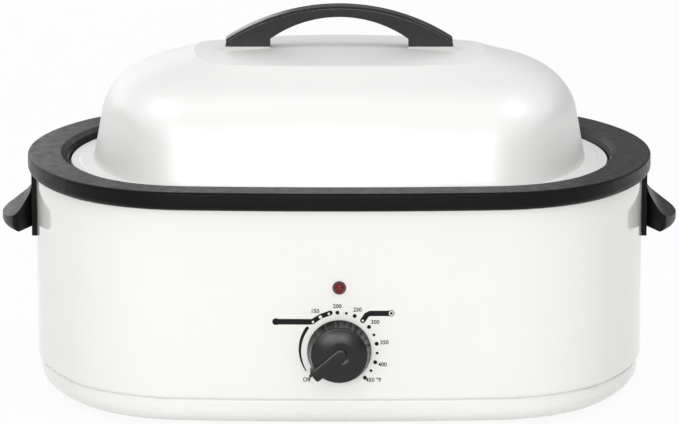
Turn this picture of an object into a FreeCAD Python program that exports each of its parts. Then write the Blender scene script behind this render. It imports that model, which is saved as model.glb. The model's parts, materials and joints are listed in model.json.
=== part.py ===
"""Electric roaster oven: a steel body with a lift-out pan, rack and domed lid, and one dial.

Millimetres, +Z up, the dial on the -Y side. The origin is the centre of the body's outline on
the plane that the feet stand on. Every plan outline is the rim's outline moved in by an inset.
"""
import FreeCAD, Part
import math
import os
import Sketcher
from FreeCAD import Vector

doc = FreeCAD.newDocument("RoasterOven")
sheet = doc.addObject("Spreadsheet::Sheet", "Sizes")
nodes = {}


# ---------------------------------------------------------------- sizes

class Size:
    """A number with the spreadsheet expression that gives it."""

    def __init__(self, value, text):
        self.value = float(value)
        self.text = text

    def _mix(self, other, sign, result):
        other = as_size(other)
        text = "(%s %s %s)" % (self.text, sign, other.text)
        return Size(result(self.value, other.value), text)

    def __add__(self, other):
        return self._mix(other, "+", lambda a, b: a + b)

    def __sub__(self, other):
        return self._mix(other, "-", lambda a, b: a - b)

    def __mul__(self, other):
        return self._mix(other, "*", lambda a, b: a * b)

    def __truediv__(self, other):
        return self._mix(other, "/", lambda a, b: a / b)

    def __radd__(self, other):
        return as_size(other) + self

    def __rsub__(self, other):
        return as_size(other) - self

    def __rmul__(self, other):
        return as_size(other) * self

    def __neg__(self):
        return as_size(0) - self


def as_size(value):
    return value if isinstance(value, Size) else Size(value, repr(float(value)))


def root(size):
    return Size(math.sqrt(size.value), "sqrt(%s)" % size.text)


def cosine(degrees):
    return Size(math.cos(math.radians(degrees.value)), "cos(%s)" % degrees.text)


def sine(degrees):
    return Size(math.sin(math.radians(degrees.value)), "sin(%s)" % degrees.text)


def cell(alias, value):
    """One driving size: its name in column A, its value and alias in column B."""
    cell.row += 1
    sheet.set("A%d" % cell.row, alias)
    sheet.set("B%d" % cell.row, str(value))
    sheet.setAlias("B%d" % cell.row, alias)
    return Size(value, "Sizes." + alias)


cell.row = 0

# plan outline of the rim: three radii each side, all other outlines are insets of it
rim_half_length = cell("rim_half_length", 272)
rim_half_depth = cell("rim_half_depth", 200)
front_radius = cell("front_radius", 1720)
corner_radius = cell("corner_radius", 130)
end_radius = cell("end_radius", 251)

# levels
foot_height = cell("foot_height", 6)
seam_height = cell("seam_height", 28)
rim_top = cell("rim_top", 207)
dial_height = cell("dial_height", 71)
lamp_height = cell("lamp_height", 125.4)
cord_height = cell("cord_height", 45)
fit_gap = cell("fit_gap", 0.3)

# sheet metal
sheet_steel = cell("sheet_steel", 0.7)
wall_inset = cell("wall_inset", 7.1)
wall_bend = cell("wall_bend", 3.2)
seam_flange = cell("seam_flange", 10)
base_inset = cell("base_inset", 9.7)
base_corner = cell("base_corner", 14)
base_bead = cell("base_bead", 2)
bead_inset = cell("bead_inset", 30)
bead_width = cell("bead_width", 14)

# rim ring
rim_skirt = cell("rim_skirt", 6.8)
rim_drop = cell("rim_drop", 16)
rim_plate = cell("rim_plate", 3)
rim_edge = cell("rim_edge", 2.2)
rim_flat = cell("rim_flat", 29)
ledge_slope = cell("ledge_slope", 7)
ledge_drop = cell("ledge_drop", 9)
ledge_width = cell("ledge_width", 12.5)
ledge_thickness = cell("ledge_thickness", 3)

# liner
liner_lip = cell("liner_lip", 9)
liner_gap = cell("liner_gap", 2.8)
liner_draft = cell("liner_draft", 0.038)
liner_floor = cell("liner_floor", 36.8)
liner_corner = cell("liner_corner", 18)

# roasting pan
pan_sheet = cell("pan_sheet", 0.9)
pan_flange_gap = cell("pan_flange_gap", 1.6)
pan_side_gap = cell("pan_side_gap", 7)
pan_draft = cell("pan_draft", 0.071)
pan_floor_gap = cell("pan_floor_gap", 14.2)
pan_corner = cell("pan_corner", 26)

# heating, insulation
band_thickness = cell("band_thickness", 1.6)
band_width = cell("band_width", 25)
band_gap = cell("band_gap", 20)
upper_band_height = cell("upper_band_height", 115)
lower_band_height = cell("lower_band_height", 60)
blanket_gap = cell("blanket_gap", 5.3)
blanket_thickness = cell("blanket_thickness", 12)
blanket_bottom = cell("blanket_bottom", 58)
blanket_drop = cell("blanket_drop", 27)

# thermostat and dial
shaft_radius = cell("shaft_radius", 3)
shaft_clearance = cell("shaft_clearance", 0.05)
bushing_radius = cell("bushing_radius", 4.5)
thermostat_width = cell("thermostat_width", 30)
thermostat_depth = cell("thermostat_depth", 18)
plate_width = cell("plate_width", 42)
thermostat_screw_reach = cell("thermostat_screw_reach", 14)
bulb_radius = cell("bulb_radius", 3)
bulb_length = cell("bulb_length", 60)
bulb_height = cell("bulb_height", 100)
tube_radius = cell("tube_radius", 1)
tube_reach = cell("tube_reach", 50)
knob_gap = cell("knob_gap", 1.7)
skirt_radius = cell("skirt_radius", 27)
skirt_thickness = cell("skirt_thickness", 3)
cap_radius = cell("cap_radius", 24.4)
knob_depth = cell("knob_depth", 18.6)
knob_wall = cell("knob_wall", 2.4)
pointer_width = cell("pointer_width", 11.5)
pointer_tail = cell("pointer_tail", 9)
pointer_nose = cell("pointer_nose", 29.5)
pointer_rise = cell("pointer_rise", 0.9)
off_angle = cell("off_angle", 220)

# lamp
bezel_radius = cell("bezel_radius", 5.7)
lamp_bore = cell("lamp_bore", 4)
lens_radius = cell("lens_radius", 4.8)

# fasteners
screw_radius = cell("screw_radius", 2)
screw_head = cell("screw_head", 4)
head_height = cell("head_height", 2.4)
screw_clearance = cell("screw_clearance", 0.3)

# feet and brackets
foot_radius = cell("foot_radius", 13)
foot_stem = cell("foot_stem", 4)
foot_x = cell("foot_x", 166)
foot_y = cell("foot_y", 118)
bracket_x = cell("bracket_x", 120)
bracket_width = cell("bracket_width", 30)
bracket_span = cell("bracket_span", 150)
bracket_foot = cell("bracket_foot", 24)
bracket_sheet = cell("bracket_sheet", 1.2)
bracket_screw_y = cell("bracket_screw_y", 20)

# cord entry and wiring
gland_flange = cell("gland_flange", 11)
gland_radius = cell("gland_radius", 7.8)
gland_bore = cell("gland_bore", 4)
gland_flare = cell("gland_flare", 1.2)
gland_snout = cell("gland_snout", 15)
gland_nut_depth = cell("gland_nut_depth", 5)
terminal_length = cell("terminal_length", 40)
terminal_depth = cell("terminal_depth", 20)
terminal_height = cell("terminal_height", 16)
terminal_y = cell("terminal_y", 112)
fuse_radius = cell("fuse_radius", 4.5)
fuse_length = cell("fuse_length", 22)

# side handles
grip_overhang = cell("grip_overhang", 23)
grip_radius = cell("grip_radius", 103)
grip_half_width = cell("grip_half_width", 54)
grip_root = cell("grip_root", 22)
grip_corner = cell("grip_corner", 3)
grip_flare = cell("grip_flare", 12.2)
grip_wall = cell("grip_wall", 2.5)
grip_drop = cell("grip_drop", 32.5)
grip_fall = cell("grip_fall", 5.1)
grip_thickness = cell("grip_thickness", 14.4)
grip_round = cell("grip_round", 6)
grip_lip = cell("grip_lip", 6)
grip_roof = cell("grip_roof", 7.4)
mount_plate_width = cell("mount_plate_width", 50)
mount_plate_drop = cell("mount_plate_drop", 1.6)
mount_plate_length = cell("mount_plate_length", 55)
mount_plate_thickness = cell("mount_plate_thickness", 3.3)
handle_screw_y = cell("handle_screw_y", 17.5)
handle_screw_drop = cell("handle_screw_drop", 35)
handle_screw_length = cell("handle_screw_length", 10)

# lid
lid_sheet = cell("lid_sheet", 0.8)
lid_flange_gap = cell("lid_flange_gap", 2)
lid_flange_width = cell("lid_flange_width", 19)
lid_step = cell("lid_step", 0.8)
dome_draft = cell("dome_draft", 0.2)
shoulder_rise = cell("shoulder_rise", 31)
end_shoulder = cell("end_shoulder", 50)
side_shoulder = cell("side_shoulder", 62)
end_roof_slope = cell("end_roof_slope", 20.5)
side_roof_slope = cell("side_roof_slope", 31)
crown_rise = cell("crown_rise", 92)
crown_length_radius = cell("crown_length_radius", 1600)
crown_depth_radius = cell("crown_depth_radius", 700)

# lid handle
handle_rise = cell("handle_rise", 35.4)
handle_arch = cell("handle_arch", 181)
handle_arch_under = cell("handle_arch_under", 103)
handle_thickness = cell("handle_thickness", 9.3)
handle_reach = cell("handle_reach", 98.5)
handle_opening = cell("handle_opening", 60)
handle_depth = cell("handle_depth", 20)
handle_edge = cell("handle_edge", 2.5)
handle_screw_x = cell("handle_screw_x", 80)
handle_screw_bite = cell("handle_screw_bite", 9)
washer_radius = cell("washer_radius", 5.5)
washer_thickness = cell("washer_thickness", 1)

# rack
frame_wire = cell("frame_wire", 2.5)
cross_wire = cell("cross_wire", 1.6)
loop_wire = cell("loop_wire", 2)
rack_margin = cell("rack_margin", 39.5)
rack_leg = cell("rack_leg", 11)
rack_pitch = cell("rack_pitch", 30)
rack_loop_rise = cell("rack_loop_rise", 88)
rack_loop_half = cell("rack_loop_half", 40)
rack_loop_bend = cell("rack_loop_bend", 14)
rack_leg_x = cell("rack_leg_x", 105)

doc.recompute()


# ---------------------------------------------------------------- document helpers

def bind(item, **sizes):
    """Set properties of an object and tie them to the sheet."""
    for name, size in sizes.items():
        size = as_size(size)
        setattr(item, name, size.value)
        item.setExpression(name, size.text)


def place(item, at, rotation=FreeCAD.Rotation()):
    """Put an object at a point whose coordinates follow the sheet."""
    at = [as_size(number) for number in at]
    item.Placement = FreeCAD.Placement(Vector(*[number.value for number in at]), rotation)
    for axis, number in zip("xyz", at):
        item.setExpression("Placement.Base." + axis, number.text)


def node(item, label):
    """Register an object as one sub-part, under the name of its file."""
    item.Label = label
    nodes[label] = item
    return item


def body(label):
    return node(doc.addObject("PartDesign::Body", label), label)


def plane(owner, role):
    return [face for face in owner.Origin.OriginFeatures if face.Role == role][0]


def sketch(owner, role="XY_Plane", origin=(0, 0, 0)):
    """A sketch on one of the body's planes; origin is its own zero, in its own directions."""
    item = owner.newObject("Sketcher::SketchObject", owner.Name + "Sketch")
    item.AttachmentSupport = [(plane(owner, role), "")]
    item.MapMode = "FlatFace"
    origin = [as_size(number) for number in origin]
    values = [number.value for number in origin]
    item.AttachmentOffset = FreeCAD.Placement(Vector(*values), FreeCAD.Rotation())
    for axis, number in zip("xyz", origin):
        item.setExpression("AttachmentOffset.Base." + axis, number.text)
    return item


def free_sketch(name, height):
    """A level sketch outside any body, for a loft."""
    item = doc.addObject("Sketcher::SketchObject", name)
    place(item, (0, 0, height))
    return item


class Ties:
    """Collects the constraints of a sketch and ties their values to the sheet."""

    def __init__(self, item):
        self.item = item
        self.rules = []
        self.sizes = []

    def add(self, *rule):
        self.rules.append(Sketcher.Constraint(*rule))
        self.sizes.append(None)

    def measure(self, kind, *rule):
        size = rule[-1]
        self.rules.append(Sketcher.Constraint(kind, *rule[:-1], size.value))
        self.sizes.append(size)

    def fix(self, geometry, end, x, y):
        """Hold a point at x, y from the sketch's origin."""
        x = as_size(x)
        y = as_size(y)
        if x.text == "0.0":
            self.add("PointOnObject", geometry, end, -2)
        else:
            self.measure("DistanceX", -1, 1, geometry, end, x)
        if y.text == "0.0":
            self.add("PointOnObject", geometry, end, -1)
        else:
            self.measure("DistanceY", -1, 1, geometry, end, y)

    def apply(self):
        first = len(self.item.Constraints)
        self.item.addConstraint(self.rules)
        for number, size in enumerate(self.sizes):
            if size is not None:
                self.item.setExpression("Constraints[%d]" % (first + number), size.text)


def arc_between(item, centre, radius, start, end):
    circle = Part.Circle(Vector(centre[0], centre[1], 0), Vector(0, 0, 1), radius)
    return item.addGeometry(Part.ArcOfCircle(circle, start, end), False)


def corner_centre(a, b, r1, r2, r3):
    """Centre of the corner arc that is tangent inside the long side's arc and the end's arc."""
    base = (0.0, b - r1)
    tip = (a - r3, 0.0)
    across = math.hypot(tip[0] - base[0], tip[1] - base[1])
    reach = r1 - r2
    along = (reach * reach - (r3 - r2) ** 2 + across * across) / (2 * across)
    aside = math.sqrt(reach * reach - along * along)
    ux = (tip[0] - base[0]) / across
    uy = (tip[1] - base[1]) / across
    choices = [(base[0] + along * ux - side * uy, base[1] + along * uy + side * ux)
               for side in (aside, -aside)]
    return max(choices, key=sum)


def oval(item, a, b, r1, r2, r3):
    """Closed outline of eight tangent arcs: half length a, half depth b, three radii."""
    cx, cy = corner_centre(a.value, b.value, r1.value, r2.value, r3.value)
    long_centre = r1.value - b.value
    end_centre = a.value - r3.value
    first = math.atan2(cy + long_centre, cx)
    if r3.value < r2.value:
        last = math.atan2(-cy, end_centre - cx)
    else:
        last = math.atan2(cy, cx - end_centre)
    half = math.pi
    full = 2 * math.pi
    right = arc_between(item, (end_centre, 0), r3.value, -last, last)
    right_back = arc_between(item, (cx, cy), r2.value, last, first)
    back = arc_between(item, (0, -long_centre), r1.value, first, half - first)
    left_back = arc_between(item, (-cx, cy), r2.value, half - first, half - last)
    left = arc_between(item, (-end_centre, 0), r3.value, half - last, half + last)
    left_front = arc_between(item, (-cx, -cy), r2.value, half + last, half + first)
    front = arc_between(item, (0, long_centre), r1.value, half + first, full - first)
    right_front = arc_between(item, (cx, -cy), r2.value, full - first, full - last)
    ring = [right, right_back, back, left_back, left, left_front, front, right_front]
    ties = Ties(item)
    for number in range(8):
        ties.add("Tangent", ring[number], 2, ring[(number + 1) % 8], 1)
    for arc in (right, left):
        ties.measure("Radius", arc, r3)
        ties.add("PointOnObject", arc, 3, -1)
    for arc in (right_back, left_back, left_front, right_front):
        ties.measure("Radius", arc, r2)
    for arc in (front, back):
        ties.measure("Radius", arc, r1)
        ties.add("PointOnObject", arc, 3, -2)
    ties.measure("DistanceX", -1, 1, right, 3, a - r3)
    ties.measure("DistanceX", -1, 1, left, 3, r3 - a)
    ties.measure("DistanceY", -1, 1, front, 3, r1 - b)
    ties.measure("DistanceY", -1, 1, back, 3, b - r1)
    ties.apply()


def inset_oval(item, inset):
    """The rim's outline moved in by an inset."""
    inset = as_size(inset)
    oval(item, rim_half_length - inset, rim_half_depth - inset, front_radius - inset,
         corner_radius - inset, end_radius - inset)


def circle(item, x, y, radius):
    x = as_size(x)
    y = as_size(y)
    radius = as_size(radius)
    shape = Part.Circle(Vector(x.value, y.value, 0), Vector(0, 0, 1), radius.value)
    ring = item.addGeometry(shape, False)
    ties = Ties(item)
    ties.measure("Radius", ring, radius)
    ties.fix(ring, 3, x, y)
    ties.apply()


def unit(start, end):
    length = math.hypot(end[0] - start[0], end[1] - start[1])
    return ((end[0] - start[0]) / length, (end[1] - start[1]) / length)


def rounding(before, here, after, radius):
    """Start, end, centre and turn of the arc that rounds the corner here."""
    back = unit(here, before)
    ahead = unit(here, after)
    dot = max(-1.0, min(1.0, back[0] * ahead[0] + back[1] * ahead[1]))
    half = math.acos(dot) / 2
    reach = radius / math.tan(half)
    start = (here[0] + back[0] * reach, here[1] + back[1] * reach)
    end = (here[0] + ahead[0] * reach, here[1] + ahead[1] * reach)
    middle = unit((0, 0), (back[0] + ahead[0], back[1] + ahead[1]))
    away = radius / math.sin(half)
    centre = (here[0] + middle[0] * away, here[1] + middle[1] * away)
    left_turn = back[0] * ahead[1] - back[1] * ahead[0] < 0
    return start, end, centre, left_turn


def draw_run(item, corners, closed):
    """Lines through corners (x, y, radius); a corner with a radius is an arc. Returns the parts."""
    count = len(corners)
    inner = range(count) if closed else range(1, count - 1)
    bends = {}
    for number in inner:
        x, y, radius = corners[number]
        if radius > 0:
            before = corners[number - 1][:2]
            after = corners[(number + 1) % count][:2]
            bends[number] = rounding(before, (x, y), after, radius)
    lines = []
    for number in range(count if closed else count - 1):
        after = (number + 1) % count
        start = bends[number][1] if number in bends else corners[number][:2]
        end = bends[after][0] if after in bends else corners[after][:2]
        line = Part.LineSegment(Vector(start[0], start[1], 0), Vector(end[0], end[1], 0))
        lines.append(item.addGeometry(line, False))
    arcs = {}
    for number, (start, end, centre, left_turn) in bends.items():
        first = math.atan2(start[1] - centre[1], start[0] - centre[0])
        last = math.atan2(end[1] - centre[1], end[0] - centre[0])
        if not left_turn:
            first, last = last, first
        if last < first:
            last += 2 * math.pi
        radius = corners[number][2]
        arcs[number] = (arc_between(item, centre, radius, first, last), left_turn)
    return lines, arcs


def join_run(ties, lines, arcs, count, closed):
    """Join each line to the next one, or to the arc between them."""
    for number in range(0 if closed else 1, count if closed else count - 1):
        before = lines[number - 1]
        after = lines[number]
        if number in arcs:
            arc, left_turn = arcs[number]
            near, far = (1, 2) if left_turn else (2, 1)
            ties.add("Tangent", before, 2, arc, near)
            ties.add("Tangent", arc, far, after, 1)
        else:
            ties.add("Coincident", before, 2, after, 1)


def sized_corners(corners):
    full = [tuple(corner) + (0,) * (3 - len(corner)) for corner in corners]
    return [tuple(as_size(number) for number in corner) for corner in full]


def pin_run(item, ties, lines, arcs, corners, closed):
    """Hold every corner at its place; a rounded one is held by the point where its lines meet."""
    count = len(corners)
    for number, (x, y, radius) in enumerate(corners):
        if number in arcs:
            sharp = item.addGeometry(Part.Point(Vector(x.value, y.value, 0)), True)
            ties.fix(sharp, 1, x, y)
            ties.add("PointOnObject", sharp, 1, lines[number - 1])
            ties.add("PointOnObject", sharp, 1, lines[number])
            ties.measure("Radius", arcs[number][0], radius)
        elif number == count - 1 and not closed:
            ties.fix(lines[-1], 2, x, y)
        else:
            ties.fix(lines[number], 1, x, y)


def outline(item, corners):
    """Closed outline through corners (x, y) or (x, y, radius)."""
    corners = sized_corners(corners)
    values = [tuple(number.value for number in corner) for corner in corners]
    lines, arcs = draw_run(item, values, True)
    ties = Ties(item)
    join_run(ties, lines, arcs, len(corners), True)
    pin_run(item, ties, lines, arcs, corners, True)
    ties.apply()


def rectangle(item, x0, y0, x1, y1):
    outline(item, [(x0, y0), (x1, y0), (x1, y1), (x0, y1)])


def shifted(values, thickness):
    """The same run moved to its left by thickness, with its radii changed to suit."""
    normals = []
    for start, end in zip(values, values[1:]):
        ux, uy = unit(start, end)
        normals.append((-uy, ux))
    result = []
    for number, (x, y, radius) in enumerate(values):
        before = normals[max(number - 1, 0)]
        after = normals[min(number, len(normals) - 1)]
        share = thickness / (1 + before[0] * after[0] + before[1] * after[1])
        moved = (x + share * (before[0] + after[0]), y + share * (before[1] + after[1]))
        if radius:
            left_turn = before[0] * after[1] - before[1] * after[0] > 0
            radius = radius - thickness if left_turn else radius + thickness
        result.append(moved + (radius,))
    return result


def strip(item, corners, thickness):
    """Section of bent sheet: a run of corners, and the same run on its left, capped square.

    A negative thickness puts the sheet on the right of the run.
    """
    corners = sized_corners(corners)
    count = len(corners)
    side = 1 if thickness.value > 0 else -1
    near = [tuple(number.value for number in corner) for corner in corners]
    far = shifted(near, thickness.value)
    lines, arcs = draw_run(item, near, False)
    far_lines, far_arcs = draw_run(item, far, False)
    caps = []
    for end in (0, -1):
        start = Vector(near[end][0], near[end][1], 0)
        finish = Vector(far[end][0], far[end][1], 0)
        caps.append(item.addGeometry(Part.LineSegment(start, finish), False))
    ties = Ties(item)
    join_run(ties, lines, arcs, count, False)
    join_run(ties, far_lines, far_arcs, count, False)
    pin_run(item, ties, lines, arcs, corners, False)
    gauge = thickness * side
    for line, far_line in zip(lines, far_lines):
        ties.add("Parallel", line, far_line)
        ties.measure("Distance", far_line, 1, line, gauge)
    for number, (far_arc, left_turn) in far_arcs.items():
        radius = corners[number][2]
        ties.measure("Radius", far_arc, radius - thickness if left_turn else radius + thickness)
    ties.add("Coincident", caps[0], 1, lines[0], 1)
    ties.add("Coincident", caps[0], 2, far_lines[0], 1)
    ties.add("Perpendicular", caps[0], lines[0])
    ties.add("Coincident", caps[1], 1, lines[-1], 2)
    ties.add("Coincident", caps[1], 2, far_lines[-1], 2)
    ties.add("Perpendicular", caps[1], lines[-1])
    ties.apply()


def at_front(corners):
    """Turn (inset, height, radius) corners into a section across the front of the body."""
    return [(corner[0] - rim_half_depth,) + tuple(corner[1:]) for corner in corners]


def pad(owner, profile, length, both_ways=False, backwards=False):
    item = owner.newObject("PartDesign::Pad", owner.Name + "Pad")
    item.Profile = (profile, [""])
    if both_ways:
        item.SideType = "Symmetric"
    item.Reversed = backwards
    bind(item, Length=length)
    return item


def pocket(owner, profile, length, both_ways=False, along=False):
    """Cut away from the sketch's side; along=True cuts towards its normal."""
    item = owner.newObject("PartDesign::Pocket", owner.Name + "Pocket")
    item.Profile = (profile, [""])
    if both_ways:
        item.SideType = "Symmetric"
    item.Reversed = along
    bind(item, Length=length)
    return item


def turn(owner, profile, axis="V_Axis", kind="Revolution"):
    item = owner.newObject("PartDesign::" + kind, owner.Name + kind)
    item.Profile = (profile, [""])
    item.ReferenceAxis = (profile, [axis])
    item.Angle = 360
    return item


def sweep(owner, section, path):
    item = owner.newObject("PartDesign::AdditivePipe", owner.Name + "Pipe")
    item.Profile = (section, [""])
    item.Spine = (path, [""])
    return item


def mirror(owner, role):
    """Mirror the whole body so far in one of its planes."""
    doc.recompute()
    item = owner.newObject("PartDesign::Mirrored", owner.Name + "Mirrored")
    item.TransformMode = "Whole shape"
    item.MirrorPlane = (plane(owner, role), [""])
    owner.Tip = item
    return item


def swept_ring(label, section):
    """A body whose section, in insets and heights, runs all the way round the outline."""
    owner = body(label)
    path = sketch(owner)
    inset_oval(path, 0)
    profile = sketch(owner, "YZ_Plane")
    section(profile)
    sweep(owner, profile, path)
    return owner


def floor_plate(owner, inset, height, thickness):
    plate = sketch(owner, origin=(0, 0, height))
    inset_oval(plate, inset)
    pad(owner, plate, thickness)


DIRECTIONS = {
    "Z": FreeCAD.Rotation(),
    "X": FreeCAD.Rotation(Vector(0, 0, 1), Vector(1, 0, 0)),
    "Y": FreeCAD.Rotation(Vector(0, 0, 1), Vector(0, 1, 0)),
    "-Y": FreeCAD.Rotation(Vector(0, 0, 1), Vector(0, -1, 0)),
}


def rod(name, radius, length, at, direction="Z"):
    item = doc.addObject("Part::Cylinder", name)
    bind(item, Radius=radius, Height=length)
    place(item, at, DIRECTIONS[direction])
    return item


def block(name, size, low):
    """A box given by its size and its lowest corner."""
    item = doc.addObject("Part::Box", name)
    bind(item, Length=size[0], Width=size[1], Height=size[2])
    place(item, low)
    return item


def join(label, pieces):
    item = doc.addObject("Part::MultiFuse", label)
    item.Shapes = pieces
    return node(item, label)


def group(label, pieces):
    item = doc.addObject("Part::Compound", label)
    item.Links = pieces
    return node(item, label)


def cut(name, base, tool):
    item = doc.addObject("Part::Cut", name)
    item.Base = base
    item.Tool = tool
    return item


def ring(name, outer, inner, length, at, direction="Z"):
    tube = rod(name + "Outer", outer, length, at, direction)
    bore = rod(name + "Bore", inner, length, at, direction)
    return cut(name, tube, bore)


AXES = {"Z": (0, 0, 1), "X": (1, 0, 0), "-X": (-1, 0, 0), "Y": (0, 1, 0), "-Y": (0, -1, 0)}
DIRECTIONS["-X"] = FreeCAD.Rotation(Vector(0, 0, 1), Vector(-1, 0, 0))


def screw(name, at, direction, length, head=None, height=None):
    """A headed screw: the head's seat is at the point, and the shank runs on from there."""
    head = head or screw_head
    height = height or head_height
    start = [number - height * axis for number, axis in zip(at, AXES[direction])]
    shank = rod(name + "Shank", screw_radius, length, at, direction)
    cap = rod(name + "Head", head, height, start, direction)
    item = doc.addObject("Part::MultiFuse", name)
    item.Shapes = [shank, cap]
    return item


def hex_nut(name, radius, bore, length, at, direction):
    prism = doc.addObject("Part::Prism", name + "Hex")
    prism.Polygon = 6
    bind(prism, Circumradius=radius, Height=length)
    place(prism, at, DIRECTIONS[direction])
    return cut(name, prism, rod(name + "Bore", bore, length, at, direction))


def bent_wire(points, bend):
    """A path of straight runs joined by tangent arcs of one radius."""
    points = [Vector(*point) for point in points]
    edges = []
    start = points[0]
    for before, here, after in zip(points, points[1:], points[2:]):
        back = (before - here).normalize()
        ahead = (after - here).normalize()
        half = back.getAngle(ahead) / 2
        reach = bend / math.tan(half)
        first = here + back * reach
        last = here + ahead * reach
        middle = here + (back + ahead).normalize() * (bend / math.sin(half) - bend)
        edges.append(Part.LineSegment(start, first).toShape())
        edges.append(Part.Arc(first, middle, last).toShape())
        start = last
    edges.append(Part.LineSegment(start, points[-1]).toShape())
    return Part.Wire(edges)


def bent_rod(name, points, radius, bend):
    """A round rod along a bent path in space."""
    values = [[as_size(number).value for number in point] for point in points]
    path = bent_wire(values, bend)
    along = path.Edges[0].tangentAt(path.Edges[0].FirstParameter)
    ring_wire = Part.Wire([Part.Circle(Vector(*values[0]), along, radius.value).toShape()])
    item = doc.addObject("Part::Feature", name)
    item.Shape = path.makePipeShell([ring_wire], True, True)
    return item


def bow(item, flat_x, half_width, centre_x, radius, side):
    """Outline between a flat at x and an arc that bulges to the given side, cut off square."""
    flat_x, half_width, centre_x, radius = map(as_size, (flat_x, half_width, centre_x, radius))
    lean = math.asin(half_width.value / radius.value)
    middle = 0 if side > 0 else math.pi
    arc = arc_between(item, (centre_x.value, 0), radius.value, middle - lean, middle + lean)
    arc_x = centre_x.value + side * radius.value * math.cos(lean)
    top = half_width.value
    x = flat_x.value
    ends = [((x, -top), (x, top)), ((x, top), (arc_x, top)), ((arc_x, -top), (x, -top))]
    flat, upper, lower = [item.addGeometry(Part.LineSegment(Vector(*a, 0), Vector(*b, 0)), False)
                          for a, b in ends]
    high, low = (2, 1) if side > 0 else (1, 2)
    ties = Ties(item)
    ties.fix(flat, 1, flat_x, -half_width)
    ties.fix(flat, 2, flat_x, half_width)
    ties.add("Coincident", flat, 2, upper, 1)
    ties.add("Coincident", lower, 2, flat, 1)
    ties.add("Coincident", upper, 2, arc, high)
    ties.add("Coincident", lower, 1, arc, low)
    ties.add("Horizontal", upper)
    ties.add("Horizontal", lower)
    ties.fix(arc, 3, centre_x, 0)
    ties.measure("Radius", arc, radius)
    ties.apply()


def round_edges(owner, feature, chosen, radius):
    """Fillet the edges of a feature that pass a test."""
    doc.recompute()
    names = ["Edge%d" % (number + 1) for number, edge in enumerate(feature.Shape.Edges)
             if chosen(edge)]
    item = owner.newObject("PartDesign::Fillet", owner.Name + "Fillet")
    item.Base = (feature, names)
    bind(item, Radius=radius)
    return item


# ---------------------------------------------------------------- sizes worked out from others

wall_outer = rim_half_depth - wall_inset
wall_inner = wall_outer - sheet_steel
wall_top = rim_top - rim_plate - 0.5
skirt_height = rim_top - rim_drop
ledge_height = rim_top - ledge_drop
ledge_under = ledge_height - ledge_thickness
ledge_wall_inset = rim_flat + ledge_slope
ledge_inner = ledge_wall_inset + ledge_width
base_floor = foot_height + sheet_steel
bead_end = bead_inset + bead_width
screw_hole = screw_radius + screw_clearance
tapped_hole = screw_radius + shaft_clearance
end_centre = rim_half_length - end_radius
liner_inset = ledge_inner + liner_gap
pan_flange_inset = ledge_wall_inset + pan_flange_gap
pan_inset = ledge_inner + pan_side_gap
pan_floor = liner_floor + pan_floor_gap
rack_inset = pan_inset + rack_margin
rack_height = pan_floor + rack_leg
rack_loop_top = rack_height + rack_loop_rise
grip_reach = rim_half_length + grip_overhang
mount_plate_top = skirt_height - mount_plate_drop
mount_plate_bottom = mount_plate_top - mount_plate_length
mount_plate_face = rim_half_length - wall_inset + mount_plate_thickness
grip_top = mount_plate_top - grip_drop
handle_screw_height = mount_plate_top - handle_screw_drop
lid_flange_inset = ledge_wall_inset + lid_flange_gap
dome_inset = lid_flange_inset + lid_flange_width
shoulder_start = rim_top + shoulder_rise
crown_top = rim_top + crown_rise
handle_foot = crown_top
handle_top = crown_top + handle_rise
handle_under = handle_top - handle_thickness


def wall_hollow(reach):
    """How far the bowed wall falls away from a flat piece of that half width set against it."""
    return reach * reach / (front_radius * 2) + 0.02


def liner_outside(height):
    """Inset of the liner's outer face, with a hair's gap, at a height."""
    return liner_inset + liner_draft * (ledge_height - height) - sheet_steel - 0.1


# ---------------------------------------------------------------- body of the oven

def base_pan():
    """Pressed steel pan under the oven, with a bead round its floor."""
    low = foot_height
    high = foot_height + base_bead
    slope = base_bead * 2
    run = [(base_inset + seam_flange, seam_height),
           (base_inset, seam_height, 2.5),
           (base_inset, low, base_corner),
           (bead_inset, low, 3),
           (bead_inset + slope, high, 3),
           (bead_end - slope, high, 3),
           (bead_end, low, 3),
           (bead_end + 6, low)]
    owner = swept_ring("base_pan", lambda item: strip(item, at_front(run), sheet_steel))
    floor_plate(owner, bead_end + 4, low, sheet_steel)
    holes = sketch(owner)
    for x in (-foot_x, foot_x):
        for y in (-foot_y, foot_y):
            circle(holes, x, y, foot_stem + 0.1)
    for x in (-bracket_x, bracket_x):
        for y in (-bracket_screw_y, bracket_screw_y):
            circle(holes, x, y, screw_hole)
    circle(holes, terminal_length, terminal_y, screw_hole)
    pocket(owner, holes, foot_height * 2, along=True)


def feet():
    """Four rubber feet with stems that snap through the base."""
    owner = body("feet")
    profile = sketch(owner, "YZ_Plane", (foot_y, 0, foot_x))
    outline(profile, [(0, 0), (foot_radius - 1.5, 0, 1.5), (foot_radius, foot_height),
                      (foot_stem, foot_height), (foot_stem, base_floor + fit_gap),
                      (foot_stem + 1.2, base_floor + fit_gap * 2),
                      (foot_stem - 0.4, base_floor + 4), (0, base_floor + 4)])
    turn(owner, profile)
    mirror(owner, "YZ_Plane")
    mirror(owner, "XZ_Plane")


def liner_brackets():
    """Two hat-shaped straps that carry the liner on the base."""
    owner = body("liner_brackets")
    section = sketch(owner, "YZ_Plane", (0, 0, bracket_x))
    half = bracket_span / 2
    top = liner_floor - sheet_steel - bracket_sheet
    strip(section, [(-half - bracket_foot, top), (-half, top, 2), (-half, base_floor, 3),
                    (half, base_floor, 3), (half, top, 2), (half + bracket_foot, top)],
          bracket_sheet)
    pad(owner, section, bracket_width, both_ways=True)
    holes = sketch(owner)
    circle(holes, bracket_x, -bracket_screw_y, screw_hole)
    circle(holes, bracket_x, bracket_screw_y, screw_hole)
    pocket(owner, holes, foot_height * 2, along=True)
    mirror(owner, "YZ_Plane")


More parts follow.
